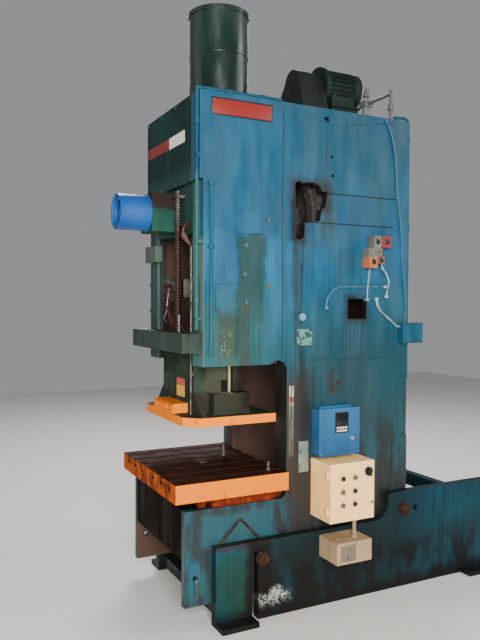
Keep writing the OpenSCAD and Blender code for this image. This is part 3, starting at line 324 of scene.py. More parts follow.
cover_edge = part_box("front_cover")[0].z
dark_enamel = old_enamel(
    "dark teal enamel", "#0b2422", "#123430", "#07100e", "#3a281e", cover_stains, gloss=0.62, shine=0.15
)
paint_node(dark_enamel, "front_cover", "front_bearing_beam")
cheek_enamel = old_enamel("light blue enamel", "#285450", "#44706a", "#12281f", "#3a2318", cheek_darkening_and_shade)
paint_node(cheek_enamel, "gib_cheeks")


def housing_stains(where):
    """Rust over the upper half of the housing."""
    return [("#200e0a", window(frayed(where, 0.02), 0.015, z=(2.095, None)), 0.9)]


rusty_enamel = old_enamel(
    "rusted green enamel", "#0f332b", "#174437", "#0a0908", "#4a2c1e", housing_stains, gloss=0.6, shine=0.15
)
paint_node(rusty_enamel, "drum_housing")


# Legs, ties, cross bar and bed: plate and bar in the same teal-blue enamel, scuffed and covered
# with floor dirt and oil, with painted shade on the legs' inner faces and over the bed; a pale scuff marks
# where something rubbed the right leg.
def leg_stains_and_shade(where):
    """Brown-black grime that thins out upwards, oil by the front recess, a pale scuff, and painted shade on
    the left leg and on the faces inward of the right leg's outer side.
    """
    torn = frayed(where, 0.04)
    patchy = cloud(where, 0.09, 0.3, 0.6, (1, 1, 2))
    fine = cloud(where, 0.007, 0.42, 0.64, (1, 1, 50))

    def area(soft, **bounds):
        return window(torn, soft, **bounds)

    return [
        ("#17160f", area(0.2, y=(-0.70, 0.3)), 0.72),
        ("#1e130c", area(0.2, y=(-0.64, 0.1)), patchy, 0.6),
        ("#12332c", area(0.2, y=(-0.64, 0.3)), cloud(where, 0.035, 0.52, 0.66, (1, 1, 2)), 0.45),
        ("#0e2426", area(0.3, y=(-0.64, None)), 0.5),
        ("#0d1614", area(0.3, y=(-0.64, None)), fine, 0.45),
        # Painted shade: the left leg, under the bed on the far side.
        ("#122422", window(where, 0.01, x=(None, -0.3)), 0.6),
        ("#120d0a", area(0.12, z=(None, 0.28)), patchy, 0.85),
        ("#163a30", area(0.03, y=(-0.9, -0.74), z=(0.04, 0.37)), 0.8),
        ("#18241c", area(0.03, y=(-0.93, -0.73), z=(0.02, 0.38)), fine, 0.5),
        ("#2e1a14", area(0.012, y=(-0.94, -0.6), z=(0.375, None)), 0.7),
        ("#130f0c", area(0.025, y=(-0.735, -0.60), z=(None, 0.40)), 0.92),
        ("#130f0c", area(0.05, z=(None, 0.05)), 0.92),
        # Painted shade: every face inward of the right leg's outer side, half dark.
        ("#17130f", window(where, 0.0005, x=(None, 0.4345)), 0.5),
        ("#a9aba2", area(0.03, x=(0.3, None), y=(-0.66, -0.50), z=(0.075, 0.115)),
         cloud(where, 0.012, 0.42, 0.56), 0.9),
        ("#a9aba2", area(0.02, x=(0.3, None), y=(-0.60, -0.54), z=(0.10, 0.145)),
         cloud(where, 0.010, 0.45, 0.58), 0.9),
    ]


leg_enamel = old_enamel(
    "scuffed teal enamel", "#0d3a4a", "#124a5a", "#0a1c20", "#2a1c16", leg_stains_and_shade, wear=0.8, shine=0.12
)
paint_node(leg_enamel, "right_leg", "left_leg", "leg_ties")
bar_enamel = old_enamel("oily teal enamel", "#1a2a20", "#22362c", "#0e110f", "#3a2a20", wear=0.8)
paint_node(bar_enamel, "tie_bar")


def bed_oil_and_shade(where):
    """Oil and rust that ran from the bolster down over the bed and its apron, deepened into painted shade
    under the bolster.
    """
    return [
        # Oil and painted shade: dark brown over the bed and its apron.
        ("#140a06", cloud(where, 0.05, 0.16, 0.36, (1, 1, 5)), 0.97),
        ("#0e0806", cloud(where, 0.12, 0.36, 0.6), 0.9),
    ]


bed_enamel = old_enamel(
    "oil-stained enamel with painted shade", "#142a2a", "#1a3434", "#0c1211", "#3a2218", bed_oil_and_shade, gloss=0.6, shine=0.04
)
paint_node(bed_enamel, "bed")


# Packing bars, bolts and flywheel: hot-rolled bar, plain bolts and rough castings, all brown with
# rust; only the gib bolts carry a coat of paint.
def rusty_steel(name, base, light, dark):
    """Rusted steel: clouds of two rusts over a dull dark scale, all rough."""
    made, tree, where, shader = material(name)
    bent, edge = rounded(tree, 0.0015)
    coats = [
        (light, cloud(where, 0.03, 0.45, 0.7)),
        (dark, cloud(where, 0.012, 0.55, 0.75), 0.8),
        (light, edge, 0.5),
    ]
    colour = coated(tree, base, coats)
    pits = cloud(where, 0.004, 0.3, 0.7)
    pitted = {"Height": pits, "Normal": bent, "Strength": 0.4, "Distance": 0.0008}
    bump = node(tree, "Bump", pitted).outputs[0]
    feed(shader, {"Base Color": colour, "Roughness": 0.85, "Specular IOR Level": 0.08, "Normal": bump})
    return made


bar_rust = rusty_steel("rusted bar steel", "#5c1f0c", "#7a3012", "#24100c")
paint_node(bar_rust, "packing_bars")
bolt_rust = rusty_steel("oily rusted bolts", "#2c1d17", "#4c2f22", "#120d0b")
paint_node(bolt_rust, "clamp_bolts")
bolt_enamel = old_enamel("enamel over rusted bolts", "#1c4850", "#4c5044", "#141a18", "#5a3c20", wear=1.2)
paint_node(bolt_enamel, "gib_bolts")
cast_rust = rusty_steel("rusted cast iron", "#33302f", "#4a423e", "#1c1716")
paint_node(cast_rust, "clutch_hub", "flywheel", "brake_disc")


# Bolster: a ground steel plate with six T-slots, oily black-brown on top; its four edges were
# painted safety orange, now scratched and marked with oil.
def edge_orange(name, top, bare, orange, shade, z_low, z_high, core=None, extra=None, over=None):
    """Orange paint on the upright faces between two heights and outside the core, the rest bare."""
    made, tree, where, shader = material(name)
    bent, edge = rounded(tree, 0.0025)
    facing = node(tree, "SeparateXYZ", {0: node(tree, "TexCoord").outputs["Normal"]}).outputs[2]
    limits = {"Value": node(tree, "Math", {0: facing}, operation="ABSOLUTE").outputs[0]}
    upright = node(tree, "MapRange", {**limits, "From Min": 0.6, "From Max": 0.4}).outputs[0]
    band = window(where, 0.0005, z=(z_low, z_high))
    painted = node(tree, "Math", {0: upright, 1: band}, operation="MULTIPLY").outputs[0]
    if core:
        inside = window(where, 0.0005, *core)
        outside = node(tree, "Math", {0: 1.0, 1: inside}, operation="SUBTRACT").outputs[0]
        painted = node(tree, "Math", {0: painted, 1: outside}, operation="MULTIPLY").outputs[0]
    coats = [
        (bare, cloud(where, 0.09, 0.4, 0.7)),
        (shade, cloud(where, 0.02, 0.55, 0.8), 0.5),
        *(extra(where) if extra else ()),
        (orange, painted),
        ("#cc6000", painted, cloud(where, 0.05, 0.45, 0.75), 0.5),
        *(over(where, painted) if over else ()),
        ("#7a3a0c", painted, cloud(where, 0.02, 0.6, 0.72, (1, 1, 3)), 0.5),
        ("#2c1a12", painted, cloud(where, 0.006, 0.68, 0.72), 0.8),
        ("#34261e", edge, cloud(where, 0.02, 0.45, 0.6), 0.6),
    ]
    colour = coated(tree, top, coats)
    dull = {"Value": cloud(where, 0.05, 0.3, 0.7), "To Min": 0.55, "To Max": 0.8}
    rough = node(tree, "MapRange", dull).outputs[0]
    grain = cloud(where, 0.003, 0.3, 0.7, (8, 1, 1))
    ground = {"Height": grain, "Normal": bent, "Strength": 0.15, "Distance": 0.0005}
    bump = node(tree, "Bump", ground).outputs[0]
    feed(shader, {"Base Color": colour, "Roughness": rough, "Specular IOR Level": 0.1, "Normal": bump})
    return made


def darker_bolster_front(where, painted):
    """The front face is darker and browner, darkest in clouds."""
    front = window(where, 0.0005, y=(None, bolster_low.y + 0.001))
    return [
        ("#8a3004", painted, front, 0.75),
        ("#3a1408", painted, front, cloud(where, 0.06, 0.42, 0.66), 0.8),
    ]


# An orange band reaches this far past its piece, so that the piece's whole height is painted.
beyond = 0.01
bolster_low, bolster_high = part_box("bolster")
core = [(low + 0.001, high - 0.001) for low, high in zip(bolster_low, bolster_high)]
bolster_finish = edge_orange(
    "oily steel with orange edges", "#2a1007", "#3a1a0d", "#de7200", "#0a0605",
    bolster_low.z - beyond, bolster_high.z + beyond, core[:2], over=darker_bolster_front,
)
paint_node(bolster_finish, "bolster")


# Slide: an iron casting in grey-green enamel, its flange edged in the same orange, its ways
# scraped bare. The clamp block for the die shank is bolted to its front, orange as well.
def slide_stains_and_light(where):
    """Bare ways, a painted highlight on their rear flank and brown behind it, a dark wet foot below them,
    and painted shade in the pocket and over the slide's rear.
    """
    torn = frayed(where, 0.01)
    pocket = {"x": (0.24, 0.2892), "y": (-0.8135, -0.7765), "z": (1.1495, 1.2125)}

    def way(soft, front, back):
        return window(where, soft, x=(0.2215, None), y=(front, back), z=(1.1412, None))

    return [
        ("#3c3c2c", way(0.001, None, -0.768), 0.75),
        # Painted highlight: the rear flank of the ways, pale.
        ("#d8c9a4", way(0.003, -0.768, -0.742), 0.95),
        ("#3a1812", way(0.003, -0.742, -0.705), 0.9),
        # Painted shade: the pocket beside the ways, near black.
        ("#0c0a08", window(where, 0.0008, **pocket), 0.95),
        ("#2c2a20", window(torn, 0.02, x=(0.2, None), z=(1.035, 1.142)), 0.85),
        # Painted shade: the slide's rear, inside the frame.
        ("#17120f", window(torn, 0.03, y=(-0.70, None), z=(1.05, None)), 0.85),
        ("#2a120c", window(torn, 0.05, z=(1.40, None)), 0.8),
    ]


slide_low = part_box("slide_body")[0].z
flange_top = slide_low + 0.0454
slide_core = [(-0.26, 0.26), (-0.99, -0.60)]
slide_finish = edge_orange(
    "green enamel with orange edge", "#1f2a20", "#303c32", "#e87a00", "#121610",
    slide_low - beyond, flange_top, slide_core, extra=slide_stains_and_light,
)
paint_node(slide_finish, "slide_body")
clamp_low, clamp_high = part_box("shank_clamp")
clamp_finish = edge_orange(
    "orange enamel on the clamp", "#c46404", "#d47004", "#e87a00", "#4a220c",
    clamp_low.z - beyond, clamp_high.z + beyond,
)
paint_node(clamp_finish, "shank_clamp")


# Bare machined steel: shafts, rods, guides and pulleys, turned or ground, brown with old oil.
def machined_steel(name, base, oil, rough):
    """Turned or ground steel under a thin film of old oil."""
    made, tree, where, shader = material(name)
    bent, edge = rounded(tree, 0.001)
    coats = [(oil, cloud(where, 0.05, 0.42, 0.68), 0.85), ("#c9c4b8", edge, 0.6)]
    colour = coated(tree, base, coats)
    feed(shader, {"Base Color": colour, "Metallic": 0.85, "Roughness": rough, "Normal": bent})
    return made


oily_steel = machined_steel("oily machined steel", "#6f6b62", "#3a2e24", 0.4)
paint_node(
    oily_steel, "crankshaft", "connection_strap", "adjusting_screw", "slide_gibs", "motor_pulley",
    "counterbalance_rods", "gauge_rod",
)
stud_steel = machined_steel("browned stud steel", "#4a3c30", "#241a14", 0.5)
paint_node(stud_steel, "t_studs")
bush_bronze = machined_steel("cast bronze", "#a8783c", "#5a3c20", 0.45)
paint_node(bush_bronze, "crank_bushes")


# Drum over the crankshaft's front end: a spun steel cap in clean bright blue, newer than the rest.
drum_enamel = old_enamel(
    "bright blue enamel", "#0c3c7c", "#165090", "#0a244a", "#20242c", streak=0.2, wear=0.3
)
paint_node(drum_enamel, "crank_end_drum")


# Air tank and counterbalance cylinders: welded steel in dark green enamel, glossier than the rest.
tank_enamel = old_enamel(
    "dark green enamel", "#05160f", "#0a2218", "#040a08", "#4a2c1e", gloss=0.26, streak=0.6, shine=0.5
)
paint_node(tank_enamel, "air_tank", "counterbalance_cylinders")


# Motor with its base, and the black belt guard beside it.
motor_enamel = old_enamel(
    "grey-green enamel", "#0c1a16", "#132620", "#070c0a", "#3a2c24", gloss=0.5, shine=0.2
)
paint_node(motor_enamel, "motor", "motor_base")
guard_enamel = old_enamel(
    "black enamel", "#0e1210", "#171d19", "#070807", "#3a2c24", gloss=0.5, shine=0.25
)
paint_node(guard_enamel, "belt_guard")


# Belts: black rubber, matt and dusty in their grooves.
rubber, tree, where, shader = material("dusty belt rubber")
dusty = coated(tree, "#161616", [("#3a3632", cloud(where, 0.03, 0.5, 0.75), 0.6)])
feed(shader, {"Base Color": dusty, "Roughness": 0.75})
paint_node(rubber, "drive_belts")


# Conduits and hoses: rigid conduit painted over with the body, plastic air hose gone grey.
def conduit_stains(where):
    """The conduit on the head's front corner is grey-green below, the one beside it as the side."""
    return [
        ("#2e5850", window(frayed(where, 0.01), 0.02, y=(None, -0.965), z=(None, 2.25)), 0.8),
        ("#17485a", window(where, 0.01, y=(-0.96, 0.2), z=(None, 2.4)), 0.9),
        ("#2a5450", window(where, 0.15, y=(-0.96, 0.2), z=(None, 1.62)), 0.8),
    ]


conduit_enamel = old_enamel(
    "painted-over conduit", "#103e50", "#1c4852", "#0c2830", "#3a2a20", conduit_stains,
    streak=0.4, gloss=0.6, shine=0.15,
)
paint_node(conduit_enamel, "edge_conduits")
hose, tree, where, shader = material("grey air hose")
greasy = [
    ("#2a4448", cloud(where, 0.03, 0.45, 0.7), 0.85),
    ("#12465c", window(where, 0.0005, x=(None, 0.3988)), 0.85),
    ("#35606e", window(where, 0.01, y=(None, 0.04)), 0.5),
    ("#2c5058", window(where, 0.01, y=(0.06, 0.27), z=(None, 1.6)), 0.5),
]
feed(shader, {"Base Color": coated(tree, "#7a98a0", greasy), "Roughness": 0.45})
paint_node(hose, "side_hoses")


# Spiral conduit in front of the head: a wound steel strip, grey at its top, red-brown with oily
# rust further down, flecked all over with painted highlights.
spiral, tree, where, shader = material("wound steel conduit")
greasy = [
    ("#2c1812", window(frayed(where, 0.05), 0.08, z=(None, 2.02)), 0.9),
    ("#361a12", cloud(where, 0.02, 0.42, 0.6), 0.75),
    # Painted highlights: small pale flecks on the winding.
    ("#77726a", cloud(where, 0.008, 0.62, 0.7), 0.6),
]
feed(shader, {"Base Color": coated(tree, "#54504a", greasy), "Metallic": 0.6, "Roughness": 0.5})
paint_node(spiral, "spiral_conduit")


# Air valves: die-cast bodies, one red, one orange, the rest bare and dirty.
def valve_stains(where):
    """One upper body is red, one lower body orange and its neighbour brown; the rest is bare."""
    return [
        ("#742420", window(where, 0.001, y=(0.092, None), z=(1.917, None)), 0.88),
        ("#b05c28", window(frayed(where, 0.004), 0.004, y=(None, 0.058), z=(None, 1.862)), 0.88),
        ("#6a4028", window(where, 0.001, y=(0.0605, None), z=(None, 1.8695)), 0.9),
    ]


valve_paint = old_enamel(
    "die-cast valve bodies", "#4c4e48", "#75766c", "#22221e", "#40382e", valve_stains, streak=0.3
)
paint_node(valve_paint, "air_valve")
dirty_zinc = old_enamel(
    "dirty zinc-plated fittings", "#4a4e48", "#6c6e66", "#1c1d19", "#332c24", streak=0.6, shine=0.25
)
paint_node(dirty_zinc, "filter_regulator")


# Control box, its door and the small boxes: folded sheet steel, stove enamelled, then handled
# with oily hands for years.
cream = old_enamel(
    "cream stove enamel", "#fcc87c", "#ffd898", "#c09050", "#4a3626", gloss=0.35, wear=0.35, streak=0.2
)
paint_node(cream, "control_box", "control_door")
meter_enamel = old_enamel("grey-brown enamel", "#94795c", "#a68a6a", "#4c3a2a", "#3a2c22", streak=0.3)
paint_node(meter_enamel, "meter_box")
terminal_enamel = old_enamel(
    "grey-green box enamel", "#303e34", "#425044", "#18221c", "#3a2c22", streak=0.3
)
paint_node(terminal_enamel, "terminal_box")
monitor_enamel = old_enamel(
    "mid-blue enamel", "#16466e", "#24587c", "#0e2c4a", "#20242c", streak=0.25, wear=0.3
)
paint_node(monitor_enamel, "monitor_box")


# Push-buttons, handle and key switch: moulded caps and a plated lock.
def moulded(name, colour, rough):
    """Moulded thermoset: smooth, slightly glossy, greasy in clouds."""
    made, tree, where, shader = material(name)
    greasy = coated(tree, colour, [("#15120f", cloud(where, 0.01, 0.5, 0.8), 0.4)])
    feed(shader, {"Base Color": greasy, "Roughness": rough, "Normal": rounded(tree, 0.0012)[0]})
    return made


black_cap = moulded("black thermoset", "#181614", 0.3)
paint_node(black_cap, "button_4", "button_6", "selector_handle", "button_1")
brown_cap = moulded("brown thermoset", "#5a4638", 0.4)
paint_node(brown_cap, "button_2", "button_3", "button_5")
paint_node(machined_steel("plated lock", "#c8c8c4", "#7a7468", 0.25), "key_switch")


# Nameplate: its place on the head's right side, a stamped plate with a black rim and a plain red
# field, held by four small round-headed screws.
def skin(name, parts, finish, body="press", smooth=True):
    """One mesh from closed sections carried along paths: parts are arrays (rows, columns, xyz).

    Each row is a closed ring of points, neighbouring rows are joined by quads, and the first and
    last row are closed by a flat face each.
    """
    points, faces, start = [], [], 0
    for part in parts:
        rows, columns = part.shape[:2]
        here = start + np.arange(rows * columns).reshape(rows, columns)
        nexts = np.roll(here, -1, axis=1)
        quads = np.stack([here[:-1], nexts[:-1], nexts[1:], here[1:]], axis=-1).reshape(-1, 4)
        faces += quads.tolist() + [here[0, ::-1].tolist(), here[-1].tolist()]
        points.append(part.reshape(-1, 3))
        start += rows * columns
    mesh = bpy.data.meshes.new(name)
    mesh.from_pydata(np.concatenate(points), [], faces)
    shape = bmesh.new()
    shape.from_mesh(mesh)
    bmesh.ops.recalc_face_normals(shape, faces=shape.faces)
    shape.to_mesh(mesh)
    shape.free()
    mesh.polygons.foreach_set("use_smooth", np.full(len(mesh.polygons), smooth))
    mesh.materials.append(finish)
    piece = bpy.data.objects.new(name, mesh)
    bpy.context.scene.collection.objects.link(piece)
    if smooth:
        mesh.set_sharp_from_angle(angle=np.radians(40))
    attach(piece, body)


# For each axis: two directions across it, and the one along it.
directions = {"x": np.eye(3)[[1, 2, 0]], "y": np.eye(3)[[2, 0, 1]], "z": np.eye(3)}


def turned(profile, centre, axis="x", sides=20):
    """A turned shape: profile rows are (distance along the axis, radius), in metres."""
    along, radius = np.array(profile, float).T
    angle = np.arange(sides) * 2 * np.pi / sides
    first, second, third = directions[axis]
    ring = np.cos(angle)[:, None] * first + np.sin(angle)[:, None] * second
    return np.array(centre) + radius[:, None, None] * ring + along[:, None, None] * third


def plate(low, high, axis, corner, edge):
    """A rounded rectangle between two corners, thick along one axis, with its outer edge eased."""
    low, high = np.array(low, float), np.array(high, float)
    first, second, third = directions[axis]
    middle, half = (low + high) / 2, (high - low) / 2
    half_first, half_second, thick = (abs(half @ a) for a in (first, second, third))
    angle = np.linspace(0, 2 * np.pi, 24, endpoint=False) + np.pi / 24
    out = np.stack([np.cos(angle), np.sin(angle)], 1)
    base = np.sign(out) * (np.array([half_first, half_second]) - corner)
    eased = edge * 0.3
    rows = []
    for inset, rise in ((0, -thick), (0, thick - edge), (eased, thick - eased), (edge, thick)):
        flat = base + out * (corner - min(inset, corner * 0.9))
        rows.append(middle + flat[:, :1] * first + flat[:, 1:] * second + rise * third)
    return np.array(rows)


def sheet(face, low, high, y, z, corner, edge):
    """A plate that faces right, from low to high above a face, between two Y and two Z."""
    return plate((face + low, y[0], z[0]), (face + high, y[1], z[1]), "x", corner, edge)


def inwards(bounds, by):
    """Two bounds, each moved inwards."""
    return bounds[0] + by, bounds[1] - by


def tube(path, radius, sides=12, steps=6):
    """A round section carried along a smooth curve through the path's points (Catmull-Rom)."""
    path = np.array(path, float)
    if steps > 1 and len(path) > 2:
        ends = np.concatenate([[2 * path[0] - path[1]], path, [2 * path[-1] - path[-2]]])
        t = np.linspace(0, 1, steps, endpoint=False)[None, :, None]
        a, b, c, d = (ends[i : len(ends) - 3 + i, None] for i in range(4))
        square = (2 * a - 5 * b + 4 * c - d) * t**2
        cube = (3 * b - a - 3 * c + d) * t**3
        curve = 0.5 * (2 * b + (c - a) * t + square + cube)
        path = np.concatenate([curve.reshape(-1, 3), path[-1:]])
    ahead = np.gradient(path, axis=0)
    ahead /= np.linalg.norm(ahead, axis=1, keepdims=True)
    beside = np.cross(ahead, (0.31, 0.17, 0.93))
    beside /= np.linalg.norm(beside, axis=1, keepdims=True)
    above = np.cross(ahead, beside)
    angle = np.arange(sides) * 2 * np.pi / sides
    ring = np.cos(angle)[:, None] * beside[:, None] + np.sin(angle)[:, None] * above[:, None]
    return path[:, None] + radius * ring


def screw_head(place, axis="x", radius=0.005, height=0.003):
    """A low round head: its profile is a quarter of an ellipse."""
    bend = np.linspace(0, np.pi / 2 * 0.96, 6)
    return turned([(0, radius), *zip(height * np.sin(bend), radius * np.cos(bend))], place, axis)


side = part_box("adjuster_covers")[0].x
plate_y, plate_z = (-0.919, -0.575), (2.534, 2.621)
black_lacquer = moulded("black stoved lacquer", "#141212", 0.4)
red_lacquer = moulded("red stoved lacquer", "#781c16", 0.4)
pale_lacquer = moulded("pale stoved lacquer", "#d8cfc0", 0.5)
rim = sheet(side, 0, 0.003, plate_y, plate_z, 0.004, 0.0006)
skin("nameplate_rim", [rim], black_lacquer)
field = sheet(side, 0.002, 0.0036, inwards(plate_y, 0.006), inwards(plate_z, 0.006), 0.004, 0.0006)
skin("nameplate_field", [field], red_lacquer)
plate_screws = [
    screw_head((side + 0.0034, y, z)) for y in inwards(plate_y, 0.014) for z in inwards(plate_z, 0.014)
]
skin("nameplate_screws", plate_screws, oily_steel)


# Front cover's trim: a red band across it, brushed on by hand, and the pale plate beside it,
# which is left plain. Round-headed screws hold the cover along its edges.
def front_sheet(front, rise, x, z, corner, edge):
    """A plate that faces forward and stands rise in front of a surface, between two X and two Z."""
    return plate((x[0], front - rise, z[0]), (x[1], front + 0.001, z[1]), "y", corner, edge)


cover_low, cover_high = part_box("front_cover")
red_band = old_enamel("brushed red enamel", "#6a1c14", "#7c261c", "#3a120e", "#301a16", streak=0.3)
band = front_sheet(cover_low.y, 0.0012, (-0.379, -0.030), (2.436, 2.495), 0.001, 0.0004)
skin("red_band", [band], red_band)
pale = front_sheet(cover_low.y, 0.0016, (-0.027, 0.190), (2.433, 2.494), 0.002, 0.0004)
skin("pale_plate", [pale], pale_lacquer)
cover_screws = [
    screw_head((x, cover_low.y + 0.0005, z), "y", 0.007, -0.004)
    for x in (cover_low.x + 0.015, -0.15, 0.06, cover_high.x - 0.015)
    for z in inwards((cover_low.z, cover_high.z), 0.015)
]
skin("cover_screws", cover_screws, oily_steel)


# Weld beads: where plates meet on the right side, a rope of weld a few millimetres high was left
# unground and painted over.
def weld(path, height=0.0035):
    """A bead along a path of many points; its radius swells and shrinks once each ripple."""
    ripple = 0.006
    bead = tube(path, height, 8, steps=1)
    middle = bead.mean(axis=1, keepdims=True)
    run = np.concatenate([[0], np.cumsum(np.linalg.norm(np.diff(middle[:, 0], axis=0), axis=1))])
    swell = 1 + 0.18 * np.sin(2 * np.pi * run / ripple)
    return middle + (bead - middle) * swell[:, None, None]


def side_line(*points, rise=0.0):
    """Points given as Y and Z, at a height above the right side plate's face."""
    return [(side + rise, y, z) for y, z in points]


beads = [
    weld(np.linspace(*side_line(start, end), count))
    for start, end, count in (
        ((-0.348, 2.602), (-0.175, 2.567), 160),
        ((-0.175, 2.567), (-0.076, 2.580), 160),
        ((-0.076, 2.580), (0.217, 2.628), 160),
        ((-0.455, 1.30), (-0.455, 0.62), 200),
        ((-0.340, 1.306), (0.270, 1.306), 200),
    )
]
skin("weld_beads", beads, side_enamel)


# Patches on the right side: a strip of pale filler beside the throat, brushed on and browned by oil
# towards its lower end, and a thin galvanised plate, left bare.
def filler_stains(where):
    """Red undercoat shows through near the top, greenish brown oil covers the rest."""
    torn = frayed(where, 0.008)
    return [
        ("#7a2c20", window(torn, 0.008, z=(1.085, 1.118)), 0.9),
        ("#34402e", window(torn, 0.02, z=(None, 1.075)), 0.85),
        ("#47301e", cloud(where, 0.012, 0.5, 0.64, (1, 1, 5)), 0.8),
    ]


filler = old_enamel(
    "pale green filler", "#9fae9c", "#b6c2b0", "#4d6a5c", "#8a4a34", filler_stains, streak=0.4
)
strip = sheet(side, 0, 0.0012, (-0.466, -0.438), (0.800, 1.174), 0.003, 0.0004)
skin("filler_strip", [strip], filler)
zinc = machined_steel("dull galvanised sheet", "#8d9c94", "#4a564e", 0.6)
small_plate = sheet(side, 0, 0.0016, (-0.405, -0.345), (0.711, 0.875), 0.003, 0.0004)
skin("small_plate", [small_plate], zinc)


# Monitor box: its door carries a dark display window in a black frame, two rows of keys below it,
# and a bare plate under them, painted over with the door.
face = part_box("monitor_box")[1].x
dark_glass, *_, shader = material("dark display glass")
feed(shader, {"Base Color": linear("#0e1418"), "Roughness": 0.12})
display = sheet(face, 0, 0.002, (-0.226, -0.139), (0.916, 1.027), 0.005, 0.0008)
skin("display_frame", [display], black_lacquer)
glass = sheet(face, 0.0015, 0.0028, (-0.218, -0.147), (0.962, 1.020), 0.003, 0.0005)
skin("display_glass", [glass], dark_glass)
keys = [
    sheet(face, 0.0015, 0.004, (y, y + 0.013), (z, z + 0.010), 0.002, 0.0006)
    for z in (0.924, 0.940)
    for y in (-0.216, -0.198, -0.180, -0.162)
]
skin("display_keys", keys, pale_lacquer)
bare_plate = sheet(face, 0, 0.0012, (-0.277, -0.137), (0.812, 0.868), 0.003, 0.0004)
skin("monitor_plate", [bare_plate], monitor_enamel)
box_screws = [screw_head((face, y, z)) for y in (-0.313, -0.077) for z in (0.808, 1.037)]
skin("monitor_screws", box_screws, oily_steel)


# Meter box: behind a pane in its front sits a dial card, brown with age, with plain ticks and a
# black needle. A rim of four bars in the box's paint holds the pane.
meter_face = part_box("meter_box")[1].x
dial_card = moulded("aged dial card", "#6a5844", 0.6)
dial = sheet(meter_face, -0.004, -0.002, (-0.281, -0.190), (0.283, 0.361), 0.002, 0.0003)
skin("meter_dial", [dial], dial_card)
pivot = np.array((meter_face - 0.0015, -0.2355, 0.296))
sweep = np.radians(np.linspace(35, 145, 11))
marks = []
for angle in sweep:
    out = np.array((0, np.cos(angle), np.sin(angle)))
    marks.append(tube([pivot + 0.042 * out, pivot + 0.050 * out], 0.0006, 6, 1))
needle = np.array((0, np.cos(sweep[3]), np.sin(sweep[3])))
marks.append(tube([pivot, pivot + 0.044 * needle], 0.0007, 6, 1))
marks.append(turned([(0, 0.005), (0.002, 0.004)], pivot))
skin("meter_needle", marks, black_cap)
pane, *_, shader = material("scratched window glass")
clear = {"Roughness": 0.15, "Transmission Weight": 1.0, "Alpha": 0.2}
feed(shader, {"Base Color": linear("#e8efea"), **clear})
glass = sheet(meter_face, -0.0006, 0.0002, (-0.2825, -0.1885), (0.2815, 0.3625), 0.001, 0.0001)
skin("meter_pane", [glass], pane)
rim_y, rim_z, bar = (-0.288, -0.183), (0.276, 0.368), 0.006
frame_bars = [
    sheet(meter_face, 0, 0.002, y, z, 0.001, 0.0005)
    for y, z in (
        (rim_y, (rim_z[0], rim_z[0] + bar)),
        (rim_y, (rim_z[1] - bar, rim_z[1])),
        ((rim_y[0], rim_y[0] + bar), rim_z),
        ((rim_y[1] - bar, rim_y[1]), rim_z),
    )
]
skin("meter_window_frame", frame_bars, meter_enamel)


# Head opening: wires that a fitter tied in by hand, two of them pale and four red-brown, hanging
# between the bearing beam and the bar below it, and three orange-brown hoses at the upper right.
def sheathed(name, colour, grime):
    """Soft cable sheath: matt plastic, greasy in clouds."""
    made, tree, where, shader = material(name)
    greasy = coated(tree, colour, [(grime, cloud(where, 0.02, 0.42, 0.7), 0.75)])
    feed(shader, {"Base Color": greasy, "Roughness": 0.5})
    return made


def before_beam(*points):
    """Points given as X, distance in front of the bearing beam, and Z."""
    return [(x, beam_front - out, z) for x, out, z in points]


beam_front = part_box("front_bearing_beam")[0].y
white_wire = sheathed("grey-white cable sheath", "#9a9a90", "#5a5448")
bent_path = before_beam(
    (-0.002, 0.030, 1.690), (0.013, 0.045, 1.623), (-0.001, 0.045, 1.569), (-0.076, 0.030, 1.524),
    (-0.110, 0.004, 1.500),
)
short_path = before_beam((0.141, 0.028, 1.545), (0.1415, 0.030, 1.500), (0.141, 0.028, 1.458))
pale_wires = [tube(bent_path, 0.0022), tube(short_path, 0.003)]
skin("white_wire", pale_wires, white_wire)
red_wire = sheathed("red-brown cable sheath", "#3c1410", "#180c0a")
red_wires = []
for index in range(4):
    lean = 0.03 * index
    path = before_beam(
        (-0.10 + lean, 0.004, 1.72 - 0.012 * index), (-0.07 + lean, 0.04, 1.68 + 0.2 * lean),
        (-0.02 + lean, 0.03, 1.62), (0.05 - lean, 0.05, 1.54 + lean), (0.02 + 2 * lean, 0.02, 1.458),
    )
    red_wires.append(tube(path, 0.003))
skin("red_wires", red_wires, red_wire)
hoses = []
for index in range(3):
    fan = 0.010 * index
    path = before_beam(
        (0.215, 0.006, 2.02 - 2 * fan), (0.225 + fan, 0.040, 1.99), (0.236, 0.03 + fan, 1.945),
        (0.236, 0.004, 1.90),
    )
    hoses.append(tube(path, 0.006))
hose_sheath = sheathed("orange-brown cable sheath", "#44200e", "#1c100c")
skin("orange_hoses", hoses, hose_sheath)


# Rods on the lower body: a bent bar welded to the side plate as a handle, and a hook rod hanging
# in the hole at the bed's front corner.
handle_path = side_line(
    (-0.864, 0.406), (-0.820, 0.448), (-0.775, 0.492), (-0.756, 0.508), (-0.735, 0.494),
    (-0.690, 0.446), (-0.631, 0.386), rise=0.008,
)
skin("bent_bar", [tube(handle_path, 0.006)], bolt_rust)
hook_path = [
    (side - 0.02, -0.998, 0.244), (side + 0.008, -0.998, 0.246), (side + 0.014, -0.998, 0.236),
    (side + 0.012, -0.996, 0.21), (side + 0.010, -0.992, 0.157),
]
skin("hook_rod", [tube(hook_path, 0.006)], oily_steel)


# Side cable: a thin blue-grey cable clipped along the rear of the right side, from the top down to
# the junction box.
cable_path = side_line(
    (0.151, 2.640), (0.194, 2.558), (0.224, 2.421), (0.236, 2.242), (0.257, 2.113), (0.273, 1.944),
    (0.277, 1.858), (0.299, 1.687), (0.304, 1.560), (0.298, 1.480), rise=0.005,
)
cable_sheath = sheathed("blue-grey cable sheath", "#1f5064", "#123440")
skin("side_cable", [tube(cable_path, 0.0038)], cable_sheath)


